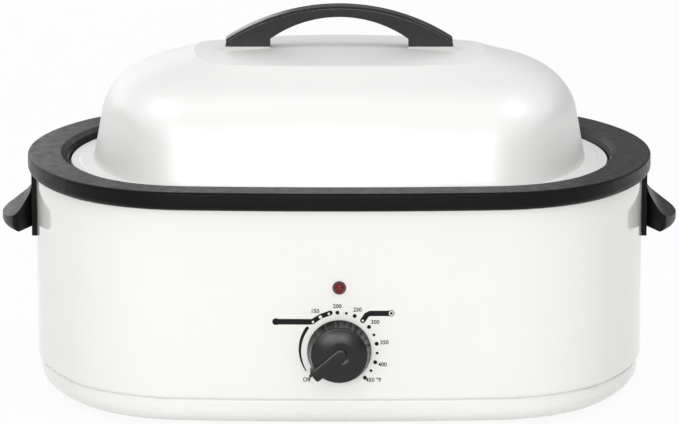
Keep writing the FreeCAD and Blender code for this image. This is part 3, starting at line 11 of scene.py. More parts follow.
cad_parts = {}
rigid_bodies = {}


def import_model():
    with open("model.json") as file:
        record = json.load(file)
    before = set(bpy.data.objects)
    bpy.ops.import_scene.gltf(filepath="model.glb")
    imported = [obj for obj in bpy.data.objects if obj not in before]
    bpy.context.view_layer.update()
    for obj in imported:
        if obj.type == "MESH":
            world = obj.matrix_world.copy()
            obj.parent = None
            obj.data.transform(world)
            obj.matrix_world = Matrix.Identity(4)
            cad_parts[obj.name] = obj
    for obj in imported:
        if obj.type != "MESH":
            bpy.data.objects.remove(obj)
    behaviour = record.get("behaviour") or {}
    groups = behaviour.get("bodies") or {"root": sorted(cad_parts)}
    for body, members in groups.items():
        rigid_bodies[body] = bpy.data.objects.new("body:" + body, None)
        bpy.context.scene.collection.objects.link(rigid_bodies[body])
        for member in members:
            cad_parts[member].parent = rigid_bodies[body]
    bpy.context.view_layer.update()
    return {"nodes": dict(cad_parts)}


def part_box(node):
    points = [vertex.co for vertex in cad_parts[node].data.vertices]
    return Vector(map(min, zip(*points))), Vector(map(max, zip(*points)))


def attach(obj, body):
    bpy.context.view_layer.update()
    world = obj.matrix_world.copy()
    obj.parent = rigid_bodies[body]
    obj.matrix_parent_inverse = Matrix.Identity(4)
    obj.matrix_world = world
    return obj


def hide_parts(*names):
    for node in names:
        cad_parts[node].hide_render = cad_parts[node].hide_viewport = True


bl_info = {
    "name": "Roaster Oven Finishes",
    "version": (1, 0, 0),
    "blender": (4, 5, 0),
    "location": "View3D > Sidebar > Roaster",
    "description": "Enamel, moulded plastic, dial print and a studio for an electric roaster oven",
    "category": "Object",
}

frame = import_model()
nodes = frame["nodes"]

MM = 0.001
INK_HEIGHT = 0.12 * MM
INK_SINK = 0.03 * MM
CAPITAL_SHARE = 0.7     # height of the font's capitals over its size
STROKE_GAIN = 0.09 * MM


# Node graph helpers

class Finish:
    """One Principled material with its object coordinates ready to use."""

    def __init__(self, name, roughness=0.5, metallic=0.0, ior=1.5):
        self.material = bpy.data.materials.new(name)
        self.material.use_nodes = True
        self.tree = self.material.node_tree
        self.tree.nodes.clear()
        output = self.tree.nodes.new("ShaderNodeOutputMaterial")
        self.shader = self.tree.nodes.new("ShaderNodeBsdfPrincipled")
        self.link(self.shader.outputs["BSDF"], output.inputs["Surface"])
        self.place = self.tree.nodes.new("ShaderNodeTexCoord").outputs["Object"]
        self.normal = None
        self.set(Roughness=roughness, Metallic=metallic, IOR=ior)

    def link(self, source, target):
        self.tree.links.new(source, target)

    def set(self, **values):
        """Fixed values on the shader's own sockets; underscores stand for spaces."""
        for name, value in values.items():
            self.shader.inputs[name.replace("_", " ")].default_value = value

    def stretched(self, scale):
        """Object coordinates with each axis scaled, for grain that runs one way."""
        mapping = self.tree.nodes.new("ShaderNodeMapping")
        mapping.inputs["Scale"].default_value = scale
        self.link(self.place, mapping.inputs["Vector"])
        return mapping.outputs["Vector"]

    def noise(self, size, detail=2.0, place=None):
        """Noise whose features are about size metres across."""
        node = self.tree.nodes.new("ShaderNodeTexNoise")
        node.inputs["Scale"].default_value = 1 / size
        node.inputs["Detail"].default_value = detail
        self.link(place or self.place, node.inputs["Vector"])
        return node.outputs[0]

    def cells(self, size):
        """Distance to the nearest of points about size metres apart."""
        node = self.tree.nodes.new("ShaderNodeTexVoronoi")
        node.inputs["Scale"].default_value = 1 / size
        self.link(self.place, node.inputs["Vector"])
        return node.outputs["Distance"]

    def spread(self, value, low, high, start=0.3, end=0.7):
        """Maps value from start..end onto low..high."""
        node = self.tree.nodes.new("ShaderNodeMapRange")
        for name, number in (("From Min", start), ("From Max", end),
                             ("To Min", low), ("To Max", high)):
            node.inputs[name].default_value = number
        self.link(value, node.inputs["Value"])
        return node.outputs["Result"]

    def colour(self, value, first, second):
        """Blends the base colour from first to second by value."""
        node = self.tree.nodes.new("ShaderNodeMix")
        node.data_type = "RGBA"
        self.link(value, node.inputs["Factor"])
        for socket, tone in ((node.inputs[6], first), (node.inputs[7], second)):
            if isinstance(tone, bpy.types.NodeSocket):
                self.link(tone, socket)
            else:
                socket.default_value = (*tone, 1)
        self.link(node.outputs[2], self.shader.inputs["Base Color"])
        return node.outputs[2]

    def roughness(self, value):
        self.link(value, self.shader.inputs["Roughness"])

    def relief(self, value, depth):
        """Adds bumps of that depth in metres over the ones already there."""
        node = self.tree.nodes.new("ShaderNodeBump")
        node.inputs["Distance"].default_value = depth
        self.link(value, node.inputs["Height"])
        if self.normal:
            self.link(self.normal, node.inputs["Normal"])
        self.normal = node.outputs["Normal"]
        self.link(self.normal, self.shader.inputs["Normal"])

    def dress(self, *names):
        """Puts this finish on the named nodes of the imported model."""
        for name in names:
            put_on(nodes[name], self.material)


def put_on(item, material):
    item.data.materials.clear()
    item.data.materials.append(material)


def blend(value, start, end):
    """Smooth step from 0 at start to 1 at end."""
    share = min(max((value - start) / (end - start), 0), 1)
    return share * share * (3 - 2 * share)


def scaled(tone, share):
    return tuple(channel * share for channel in tone[:3])


# Mesh helpers

def mesh_object(name, build_mesh, material, body, smooth=True):
    """A new mesh object made in the frame's own coordinates, riding on a body."""
    mesh = bpy.data.meshes.new(name)
    shape = bmesh.new()
    build_mesh(shape)
    bmesh.ops.recalc_face_normals(shape, faces=shape.faces)
    shape.to_mesh(mesh)
    shape.free()
    item = bpy.data.objects.new(name, mesh)
    bpy.context.scene.collection.objects.link(item)
    if smooth:
        mesh.shade_smooth()
    put_on(item, material)
    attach(item, body)
    return item


class Wall:
    """The outer wall's front, for print that lies on it."""

    def __init__(self):
        wall = nodes["outer_wall"]
        self.tree = BVHTree.FromPolygons([v.co for v in wall.data.vertices],
                                         [p.vertices for p in wall.data.polygons])

    def front(self, x, z):
        hit = self.tree.ray_cast(Vector((x, -1, z)), Vector((0, 1, 0)))[0]
        if hit is None:
            raise RuntimeError("no wall at x %.3f, z %.3f" % (x, z))
        return hit.y


def print_on_wall(name, faces_of, material, level=1.0):
    """Ink in the shape of flat faces given in x and z, laid on the wall with a real thickness."""
    wall = Wall()

    def build_mesh(shape):
        faces_of(shape)
        bmesh.ops.triangulate(shape, faces=shape.faces)
        border = [edge for edge in shape.edges if edge.is_boundary]
        front = {v: (v.co.x, v.co.z) for v in shape.verts}
        made = bmesh.ops.extrude_edge_only(shape, edges=border)
        for vertex in made["geom"]:
            if isinstance(vertex, bmesh.types.BMVert):
                x, z = vertex.co.x, vertex.co.z
                vertex.co.y = wall.front(x, z) + INK_SINK
        for vertex, (x, z) in front.items():
            vertex.co.y = wall.front(x, z) - INK_HEIGHT * level

    return mesh_object(name, build_mesh, material, "oven", smooth=False)


def disc(shape, x, z, radius, steps=24, inner=0.0):
    """A flat disc or ring in x and z."""
    rims = []
    for size in ([radius, inner] if inner else [radius]):
        rims.append([shape.verts.new((x + size * math.sin(2 * math.pi * i / steps), 0,
                                      z + size * math.cos(2 * math.pi * i / steps)))
                     for i in range(steps)])
    if not inner:
        shape.faces.new(rims[0])
        return
    outer, inside = rims
    for i in range(steps):
        j = (i + 1) % steps
        shape.faces.new((outer[i], outer[j], inside[j], inside[i]))


def stroke(shape, path, widths):
    """A flat band along path (x, z points) with a width at each point and round ends."""
    count = len(path)
    pairs = []
    for i, (x, z) in enumerate(path):
        back = path[max(i - 1, 0)]
        ahead = path[min(i + 1, count - 1)]
        run = Vector((ahead[0] - back[0], ahead[1] - back[1])).normalized()
        half = widths[i] / 2
        pairs.append((shape.verts.new((x - run.y * half, 0, z + run.x * half)),
                      shape.verts.new((x + run.y * half, 0, z - run.x * half))))
    for (left, right), (next_left, next_right) in zip(pairs, pairs[1:]):
        shape.faces.new((left, next_left, next_right, right))
    for end, beside in ((0, 1), (count - 1, count - 2)):
        x, z = path[end]
        away = math.atan2(z - path[beside][1], x - path[beside][0])
        cap = []
        for step in range(1, 8):
            angle = away + math.pi / 2 - math.pi * step / 8
            cap.append(shape.verts.new((x + widths[end] / 2 * math.cos(angle), 0,
                                        z + widths[end] / 2 * math.sin(angle))))
        first, last = pairs[end] if end else reversed(pairs[end])
        shape.faces.new([first] + cap + [last])


def lettering(shape, text, x, z, height):
    """Numbers or a word centred on x and z, as flat faces."""
    curve = bpy.data.curves.new("lettering", "FONT")
    curve.body = text
    curve.align_x = "CENTER"
    curve.align_y = "CENTER"
    curve.size = height / CAPITAL_SHARE
    curve.offset = STROKE_GAIN
    curve.resolution_u = 3
    holder = bpy.data.objects.new("lettering", curve)
    bpy.context.scene.collection.objects.link(holder)
    bpy.context.view_layer.update()
    flat = bpy.data.meshes.new_from_object(holder)
    bpy.data.objects.remove(holder)
    fresh = [shape.verts.new((x + v.co.x, 0, z + v.co.y)) for v in flat.vertices]
    for polygon in flat.polygons:
        shape.faces.new([fresh[i] for i in polygon.vertices])
    bpy.data.meshes.remove(flat)


def lathe(shape, profile, steps, lift=None):
    """Turns a profile of (radius, forward) round the dial's axis; lift adds to forward."""
    rings = []
    for radius, forward in profile:
        count = steps if radius else 1
        ring = []
        for i in range(count):
            angle = 2 * math.pi * i / steps
            along, aside = radius * math.cos(angle), radius * math.sin(angle)
            ring.append(shape.verts.new((along, aside, forward + (lift(along, aside) if lift
                                                                  else 0))))
        rings.append(ring)
    for inner, outer in zip(rings, rings[1:]):
        for i in range(steps):
            j = (i + 1) % steps
            if len(inner) == 1:
                shape.faces.new((inner[0], outer[i], outer[j]))
            else:
                shape.faces.new((inner[i], outer[i], outer[j], inner[j]))


def stacked(shape, layers):
    """Joins closed outlines of equal length, and closes the last with a fan."""
    rings = [[shape.verts.new(point) for point in layer] for layer in layers]
    count = len(rings[0])
    for low, high in zip(rings, rings[1:]):
        for i in range(count):
            j = (i + 1) % count
            shape.faces.new((low[i], low[j], high[j], high[i]))
    shape.faces.new(rings[-1])


# Settings

class EnamelSettings(bpy.types.PropertyGroup):
    colour: FloatVectorProperty(name="Enamel colour", description="Warm white of the painted steel",
                                subtype="COLOR", size=3, default=(0.905, 0.897, 0.86), min=0, max=1)
    gloss: FloatProperty(name="Roughness", description="How soft reflections are in the enamel",
                         subtype="FACTOR", default=0.10, min=0.02, max=0.6)
    ripple: FloatProperty(name="Ripple size", description="Length of the faint waves in the coat",
                          subtype="DISTANCE", unit="LENGTH", default=0.004, min=0.001, max=0.05)


class PlasticSettings(bpy.types.PropertyGroup):
    colour: FloatVectorProperty(name="Plastic colour", description="Black of the moulded pieces",
                                subtype="COLOR", size=3, default=(0.005, 0.005, 0.0052), min=0, max=1)
    gloss: FloatProperty(name="Roughness", description="How soft reflections are in the plastic",
                         subtype="FACTOR", default=0.3, min=0.05, max=0.9)
    grain: FloatProperty(name="Grain size", description="Size of the fine moulded grain",
                         subtype="DISTANCE", unit="LENGTH", default=0.0006, min=0.0002, max=0.01)


class DialSettings(bpy.types.PropertyGroup):
    mark_radius: FloatProperty(name="Mark circle", description="Radius of the circle of dots",
                               subtype="DISTANCE", unit="LENGTH", default=0.0325,
                               min=0.029, max=0.05)
    big_dot: FloatProperty(name="Main dot", description="Radius of the dots at the numbers",
                           subtype="DISTANCE", unit="LENGTH", default=0.0017,
                           min=0.0005, max=0.004)
    small_dot: FloatProperty(name="Half-step dot", description="Radius of the dots between them",
                             subtype="DISTANCE", unit="LENGTH", default=0.0012,
                             min=0.0003, max=0.004)
    text_height: FloatProperty(name="Number height", description="Height of the printed numbers",
                               subtype="DISTANCE", unit="LENGTH", default=0.0034,
                               min=0.002, max=0.01)
    ink: FloatVectorProperty(name="Ink colour", description="Colour of the dial print",
                             subtype="COLOR", size=3, default=(0.004, 0.004, 0.0045), min=0, max=1)


class KnobSettings(bpy.types.PropertyGroup):
    crown: FloatProperty(name="Crown", description="How far the cap bulges at its middle",
                         subtype="DISTANCE", unit="LENGTH", default=0.0042, min=0.001, max=0.008)
    bar_width: FloatProperty(name="Bar width", description="Width of the pointer bar",
                             subtype="DISTANCE", unit="LENGTH", default=0.0112,
                             min=0.005, max=0.02)
    scoop: FloatProperty(name="Scoop depth", description="Depth of the hollow round the bar's tail",
                         subtype="DISTANCE", unit="LENGTH", default=0.0014, min=0, max=0.003)


class LidSettings(bpy.types.PropertyGroup):
    fullness: FloatProperty(name="Shoulder fullness", description="How far the lid's ends are raised",
                            subtype="DISTANCE", unit="LENGTH", default=0.0043, min=0, max=0.01)
    starts_at: FloatProperty(name="Fullness starts",
                             description="Distance from the middle where it starts",
                             subtype="DISTANCE", unit="LENGTH", default=0.096, min=0.09, max=0.14)
    full_at: FloatProperty(name="Fullness reached",
                           description="Distance from the middle where it is full",
                           subtype="DISTANCE", unit="LENGTH", default=0.158, min=0.145, max=0.2)


class LampSettings(bpy.types.PropertyGroup):
    colour: FloatVectorProperty(name="Jewel colour", description="Red of the indicator's jewel",
                                subtype="COLOR", size=3, default=(0.17, 0.001, 0.002), min=0, max=1)


class StudioSettings(bpy.types.PropertyGroup):
    light: FloatProperty(name="Light level", description="Strength of every lamp together",
                         subtype="FACTOR", default=1.0, min=0.1, max=3)
    surround: FloatProperty(name="Surround level", description="Even light from all round",
                            subtype="FACTOR", default=1.0, min=0, max=2)
    floor: FloatVectorProperty(name="Floor colour", description="Colour of the plain floor",
                               subtype="COLOR", size=3, default=(0.84, 0.84, 0.84), min=0, max=1)
    floor_lift: FloatProperty(name="Floor lift", description="Share of plain white in the floor",
                              subtype="FACTOR", default=0.93, min=0, max=1)


SETTINGS = (("roaster_enamel", EnamelSettings), ("roaster_plastic", PlasticSettings),
            ("roaster_knob", KnobSettings), ("roaster_lid", LidSettings),
            ("roaster_dial", DialSettings),
            ("roaster_lamp", LampSettings), ("roaster_studio", StudioSettings))


# Operators

class RoasterStep(bpy.types.Operator):
    """One group of like pieces"""
    bl_options = {"REGISTER", "UNDO"}

    def execute(self, context):
        self.make(context.scene)
        return {"FINISHED"}


class ROASTER_OT_enamel(RoasterStep):
    """Coat the base pan, wall and lid with glossy white enamel"""
    bl_idname = "roaster.enamel"
    bl_label = "White enamel"

    def make(self, scene):
        settings = scene.roaster_enamel
        tone = settings.colour
        coat = Finish("white_enamel", settings.gloss, ior=1.52)
        cloud = coat.noise(0.14, 3)
        coat.colour(coat.spread(cloud, 0, 1), scaled(tone, 0.985), tone)
        coat.roughness(coat.spread(coat.noise(0.03, 4), settings.gloss * 0.8,
                                   settings.gloss * 1.35))
        coat.relief(coat.noise(settings.ripple * 6, 2), 0.00025)
        coat.relief(coat.noise(settings.ripple, 3), 0.00003)
        coat.set(Coat_Weight=0.2, Coat_Roughness=0.03, Specular_IOR_Level=0.4)
        coat.dress("base_pan", "outer_wall", "lid_shell")


class ROASTER_OT_plastic(RoasterStep):
    """Give the rim, handles and knob their moulded black plastic"""
    bl_idname = "roaster.plastic"
    bl_label = "Black plastic"

    def make(self, scene):
        settings = scene.roaster_plastic
        for name, shine, reflection, pieces in (
                ("satin_black_plastic", 1.15, 0.12, ("rim_ring", "side_handle_right",
                                                   "side_handle_left")),
                ("gloss_black_plastic", 0.8, 0.42, ("lid_handle", "control_knob"))):
            plastic = Finish(name, settings.gloss * shine, ior=1.5)
            flow = plastic.noise(0.05, 3)
            plastic.colour(plastic.spread(flow, 0, 1), scaled(settings.colour, 0.85),
                           scaled(settings.colour, 1.2))
            plastic.roughness(plastic.spread(plastic.noise(0.008, 4),
                                             settings.gloss * shine * 0.85,
                                             settings.gloss * shine * 1.2))
            plastic.relief(plastic.noise(settings.grain, 2), 0.000008)
            plastic.set(Specular_IOR_Level=reflection)
            plastic.dress(*pieces)


class ROASTER_OT_knob(RoasterStep):
    """Make the dial knob: skirt, crowned cap, and a pointer bar with a scooped tail"""
    bl_idname = "roaster.knob"
    bl_label = "Dial knob"

    POINTS_TO = 220.0       # degrees from the right, towards the top
    CAP_SHARE = 0.885       # the cap's radius over the skirt's
    CAP_SINK = 0.7 * MM     # the cap's middle below the bar
    CAP_ROUND = 1.2 * MM    # rounding of the cap's edge
    NOSE_PAST_SKIRT = 1.7 * MM
    SEGMENTS = 160

    def make(self, scene):
        settings = scene.roaster_knob
        low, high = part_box("control_knob")
        skirt = (high[0] - low[0]) / 2
        cap = skirt * self.CAP_SHARE
        depth = high[1] - low[1]
        half = settings.bar_width / 2
        tail = half + 0.0015
        nose = skirt + self.NOSE_PAST_SKIRT
        bar_top = depth - 0.0002
        axis = Vector(((low[0] + high[0]) / 2, high[1], (low[2] + high[2]) / 2))
        plastic = bpy.data.materials["gloss_black_plastic"]

        def scoop(along, aside):
            beside = abs(aside) - half
            behind = max(-along - tail + half, 0)
            gap = math.hypot(max(beside + half, 0), behind) - half if behind else beside
            reach = 1 / (1 + math.exp((along - 0.004) / 0.0022))
            fade = max(0.0, 1 - math.hypot(along, aside) / cap) ** 0.5
            return -settings.scoop * math.exp(-(max(gap, 0) / 0.0026) ** 2) * reach * fade

        def build_mesh(shape):
            middle = depth - self.CAP_SINK
            curve = self.CAP_ROUND
            dome = [(0.0, middle)]
            for step in range(1, 31):
                radius = (cap - curve) * step / 30
                dome.append((radius, middle - settings.crown * (radius / cap) ** 2.3))
            edge = dome[-1][1]
            for turn in range(1, 5):
                angle = math.radians(22.5 * turn)
                dome.append((cap - curve + curve * math.sin(angle),
                             edge - curve * (1 - math.cos(angle))))
            flank = [(cap + 0.0002, edge - 2 * curve), (skirt - 0.0012, 0.0034),
                     (skirt - 0.0003, 0.0016), (skirt, 0.0008), (skirt, 0.0),
                     (skirt - 0.0020, 0.0)]
            lathe(shape, dome + flank, self.SEGMENTS, scoop)

            def bar_outline(inset, forward):
                round_tail = half - inset
                points = []
                for step in range(17):
                    angle = math.pi / 2 + math.pi * step / 16
                    points.append((-tail + half + round_tail * math.cos(angle),
                                   round_tail * math.sin(angle)))
                end = 0.0022
                for side in (-1, 1):
                    for step in range(5):
                        share = step if side < 0 else 4 - step
                        angle = math.radians(22.5 * share)
                        points.append((nose - inset - end + end * math.sin(angle),
                                       side * (half - inset - end + end * math.cos(angle))))
                return [(x, y, forward) for x, y in points]

            stacked(shape, [bar_outline(0, 0.0026), bar_outline(0.0002, bar_top - 0.0008),
                            bar_outline(0.0004, bar_top - 0.0003), bar_outline(0.0008, bar_top),
                            bar_outline(0.0030, bar_top + 0.0002)])
            turn = math.radians(self.POINTS_TO)
            along = Vector((math.cos(turn), 0, math.sin(turn)))
            aside = Vector((-math.sin(turn), 0, math.cos(turn)))
            for vertex in shape.verts:
                x, y, forward = vertex.co
                vertex.co = axis + along * x + aside * y + Vector((0, -forward, 0))

        knob = mesh_object("dial_knob", build_mesh, plastic, "knob")
        knob.data.set_sharp_from_angle(angle=math.radians(32))
        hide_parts("control_knob")


class ROASTER_OT_lid(RoasterStep):
    """Form the lid with fuller shoulders at its two ends"""
    bl_idname = "roaster.lid"
    bl_label = "Lid"

    SHOULDER_FOOT = 0.215
    SHOULDER_TOP = 0.255

    def make(self, scene):
        settings = scene.roaster_lid
        mesh = nodes["lid_shell"].data.copy()
        mesh.name = "lid_skin"
        for vertex in mesh.vertices:
            x, z = abs(vertex.co.x), vertex.co.z
            vertex.co.z += (settings.fullness * blend(x, settings.starts_at, settings.full_at)
                            * blend(z, self.SHOULDER_FOOT, self.SHOULDER_TOP))
        lid = bpy.data.objects.new("lid_skin", mesh)
        bpy.context.scene.collection.objects.link(lid)
        put_on(lid, bpy.data.materials["white_enamel"])
        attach(lid, "lid")
        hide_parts("lid_shell")


class ROASTER_OT_dial_print(RoasterStep):
    """Print the temperature scale round the dial"""
    bl_idname = "roaster.dial_print"
    bl_label = "Dial print"

    # degrees clockwise from the top of the dial
    MARKS = {"150": -28.0, "200": -1.7, "250": 24.5, "300": 51.8, "350": 80.2, "400": 108.6,
             "450": 137.0}
    HALF_STEPS = (11.6, 66.0, 94.4, 122.9)
    OFF = -133.3
    ARC = (-54.0, -123.0)
    LIGHT_DOTS = ((-14.6, 1.0), (-28.0, 1.4), (-41.3, 1.0))     # angle, radius in mm

    # distance of each number from the scale's middle, in mm
    REACH = {"150": 39.0, "200": 37.9, "250": 38.3, "300": 39.0, "350": 39.0, "400": 39.0}
    LEAN_150 = -2.5         # degrees that this number stands before its mark

    # points from the scale's middle and widths, in mm
    WARM_BAR = ((-52.8, 24.5, 5.8), (-50.0, 24.5, 4.8), (-24.0, 24.5, 4.8), (-21.5, 24.9, 4.6),
                (-15.2, 29.2, 4.1), (-7.0, 32.2, 4.1))
    THAW_BAR = ((20.3, 25.6, 4.4), (23.6, 30.4, 4.6), (26.2, 31.7, 4.6), (42.0, 31.7, 4.6),
                (44.3, 31.7, 5.4))
    LAST_NUMBER = (29.4, -25.8)
    OFF_WORD = (-26.9, -25.5)

    MIDDLE_X = -0.6 * MM
    MIDDLE_Z = 71.6 * MM

    def make(self, scene):
        settings = scene.roaster_dial

        def at(angle, distance=settings.mark_radius):
            turn = math.radians(angle)
            return (self.MIDDLE_X + distance * math.sin(turn),
                    self.MIDDLE_Z + distance * math.cos(turn))

        def beside(x, z):
            return self.MIDDLE_X + x * MM, self.MIDDLE_Z + z * MM

        def bar(points):
            def faces_of(shape):
                stroke(shape, [beside(x, z) for x, z, _ in points],
                       [width * MM for _, _, width in points])
            return faces_of

        ink = Finish("dial_ink", 0.6)
        wear = ink.noise(0.004, 4)
        ink.colour(ink.spread(wear, 0, 1), scaled(settings.ink, 0.9), scaled(settings.ink, 1.6))
        ink.roughness(ink.spread(ink.noise(0.001, 2), 0.5, 0.7))
        ink.set(Specular_IOR_Level=0.2)
        ink.relief(ink.noise(0.0005, 2), 0.00001)

        def dots(shape):
            for label, angle in self.MARKS.items():
                if label != "150":
                    disc(shape, *at(angle), settings.big_dot)
            disc(shape, *at(self.OFF), settings.small_dot)
            for angle in self.HALF_STEPS:
                disc(shape, *at(angle), settings.small_dot)

        print_on_wall("dial_dots", dots, ink.material)

        def numbers(shape):
            for label, distance in self.REACH.items():
                angle = self.MARKS[label] + (self.LEAN_150 if label == "150" else 0)
                lettering(shape, label, *at(angle, distance * MM), settings.text_height)
            lettering(shape, "450 °F", *beside(*self.LAST_NUMBER), settings.text_height)
            lettering(shape, "Off", *beside(*self.OFF_WORD), settings.text_height)

        print_on_wall("dial_numbers", numbers, ink.material)

        def arc(shape):
            path, widths = [], []
            for step in range(25):
                share = step / 24
                path.append(at(self.ARC[0] + (self.ARC[1] - self.ARC[0]) * share))
                widths.append((2.8 - 1.9 * share ** 1.5) * MM)
            stroke(shape, path, widths)

        print_on_wall("warm_bar", bar(self.WARM_BAR), ink.material)
        print_on_wall("thaw_bar", bar(self.THAW_BAR), ink.material)
        print_on_wall("low_heat_arc", arc, ink.material)

        paint = Finish("white_print", 0.4)
        paint.colour(paint.noise(0.002, 3), (0.82, 0.82, 0.80), (0.88, 0.88, 0.86))
        paint.relief(paint.noise(0.0005, 2), 0.00001)

        def light_dots(shape):
            for angle, size in self.LIGHT_DOTS:
                disc(shape, *at(angle), size * MM)
            first, last = self.THAW_BAR[0], self.THAW_BAR[-1]
            disc(shape, *beside(*first[:2]), 0.9 * MM)
            disc(shape, *beside(*last[:2]), 2.1 * MM, inner=1.2 * MM)

        print_on_wall("light_dots", light_dots, paint.material, level=2.0)


class ROASTER_OT_lamp(RoasterStep):
    """Colour the indicator's jewel, its collar and the neon lamp behind it"""
    bl_idname = "roaster.lamp"
    bl_label = "Indicator lamp"

    def make(self, scene):
        tone = scene.roaster_lamp.colour
        jewel = Finish("red_jewel", 0.12, ior=1.49)
        facets = jewel.cells(0.0016)
        jewel.colour(jewel.spread(facets, 0, 1, 0.1, 0.8), scaled(tone, 1.3), scaled(tone, 0.5))
        jewel.relief(facets, 0.0004)
        jewel.set(Coat_Weight=0.1, Coat_Roughness=0.05, Specular_IOR_Level=0.3)
        jewel.dress("indicator_lens")
        collar = Finish("lamp_collar", 0.25)
        collar.colour(collar.noise(0.003, 3), (0.02, 0.008, 0.009), (0.04, 0.012, 0.014))
        collar.relief(collar.noise(0.0005, 2), 0.00002)
        collar.dress("indicator_bezel")
        glass = Finish("clear_glass", 0.05, ior=1.5)
        glass.colour(glass.noise(0.004, 2), (0.92, 0.90, 0.86), (0.96, 0.95, 0.93))
        glass.roughness(glass.spread(glass.noise(0.002, 3), 0.03, 0.12))
        glass.set(Transmission_Weight=0.9)
        glass.dress("neon_lamp")


class ROASTER_OT_pan(RoasterStep):
    """Finish the lift-out pan in speckled enamel and the rack in bright wire"""
    bl_idname = "roaster.pan"
    bl_label = "Pan and rack"

    def make(self, scene):
        enamel = Finish("speckled_enamel", 0.16, ior=1.52)
        specks = enamel.spread(enamel.cells(0.0024), 1, 0, 0.16, 0.24)
        body = enamel.noise(0.03, 3)
        under = enamel.tree.nodes.new("ShaderNodeMix")
        under.data_type = "RGBA"
        enamel.link(body, under.inputs["Factor"])
        under.inputs[6].default_value = (0.008, 0.009, 0.012, 1)
        under.inputs[7].default_value = (0.014, 0.015, 0.019, 1)
        enamel.colour(specks, under.outputs[2], (0.55, 0.56, 0.58))
        enamel.roughness(enamel.spread(enamel.noise(0.01, 4), 0.12, 0.24))
        enamel.relief(enamel.noise(0.003, 3), 0.00004)
        enamel.dress("roasting_pan")
        wire = Finish("chrome_wire", 0.15, metallic=1.0)
        wire.colour(wire.noise(0.01, 4), (0.62, 0.62, 0.63), (0.75, 0.75, 0.75))
        wire.roughness(wire.spread(wire.noise(0.004, 4), 0.1, 0.28))
        wire.relief(wire.noise(0.001, 2), 0.00002)
        wire.dress("roasting_rack")


class ROASTER_OT_inside(RoasterStep):
    """Finish the well, heating bands, blanket and controls inside the wall"""
    bl_idname = "roaster.inside"
    bl_label = "Inside the wall"

    def make(self, scene):
        steel = Finish("bare_steel", 0.35, metallic=1.0)
        grain = steel.noise(0.0008, 4, steel.stretched((1, 1, 0.06)))
        heat = steel.noise(0.08, 3)
        steel.colour(steel.spread(heat, 0, 1, 0.35, 0.75), (0.56, 0.55, 0.53),
                     (0.44, 0.38, 0.30))
        steel.roughness(steel.spread(grain, 0.28, 0.46))
        steel.relief(grain, 0.00002)
        steel.dress("inner_liner", "heater_band_upper", "heater_band_lower", "liner_brackets",
                    "thermostat_body", "bulb_clip", "fuse_clip", "thermostat_shaft",
                    "knob_spring_clip", "indicator_clip", "thermal_fuse")
        screw = Finish("screw_steel", 0.3, metallic=1.0)
        turned = screw.noise(0.0004, 4)
        screw.colour(screw.noise(0.003, 4), (0.50, 0.50, 0.51), (0.62, 0.62, 0.62))
        screw.roughness(screw.spread(turned, 0.22, 0.42))
        screw.relief(turned, 0.00002)
        screw.dress("heater_clamp_bolts", "heater_clamp_nuts", "thermostat_screws",
                    "base_screws", "terminal_screws", "earth_screw", "side_handle_screws",
                    "lid_handle_screws", "lid_handle_washers")
        tube = Finish("copper_tube", 0.3, metallic=1.0)
        tube.colour(tube.noise(0.01, 4), (0.62, 0.30, 0.20), (0.40, 0.18, 0.12))
        tube.roughness(tube.spread(tube.noise(0.004, 3), 0.25, 0.5))
        tube.dress("thermostat_capillary")
        wool = Finish("glass_wool", 0.95)
        strands = wool.noise(0.002, 6, wool.stretched((0.3, 0.3, 1)))
        wool.colour(wool.spread(strands, 0, 1), (0.62, 0.58, 0.42), (0.82, 0.80, 0.70))
        wool.relief(strands, 0.0015)
        wool.dress("insulation_blanket")
        block = Finish("terminal_plastic", 0.5)
        block.colour(block.noise(0.01, 3), (0.48, 0.46, 0.40), (0.55, 0.53, 0.47))
        block.relief(block.noise(0.0006, 2), 0.00003)
        block.dress("terminal_block")


class ROASTER_OT_small_trim(RoasterStep):
    """Finish the feet, the pads under the lid handle and the cord gland"""
    bl_idname = "roaster.small_trim"
    bl_label = "Feet, pads and gland"

    def make(self, scene):
        rubber = Finish("foot_rubber", 0.7)
        dust = rubber.noise(0.006, 5)
        rubber.colour(rubber.spread(dust, 0, 1), (0.016, 0.016, 0.016), (0.04, 0.039, 0.037))
        rubber.roughness(rubber.spread(dust, 0.6, 0.85))
        rubber.relief(rubber.noise(0.0008, 3), 0.00006)
        rubber.dress("feet")
        pad = Finish("grey_gasket", 0.6)
        pad.colour(pad.noise(0.004, 4), (0.60, 0.60, 0.585), (0.68, 0.68, 0.66))
        pad.relief(pad.noise(0.0006, 3), 0.00005)
        pad.dress("lid_handle_gaskets")
        gland = Finish("gland_nylon", 0.42)
        gland.colour(gland.noise(0.01, 3), (0.012, 0.012, 0.013), (0.02, 0.02, 0.021))
        gland.relief(gland.noise(0.0006, 2), 0.00003)
        gland.dress("cord_gland", "gland_nut")


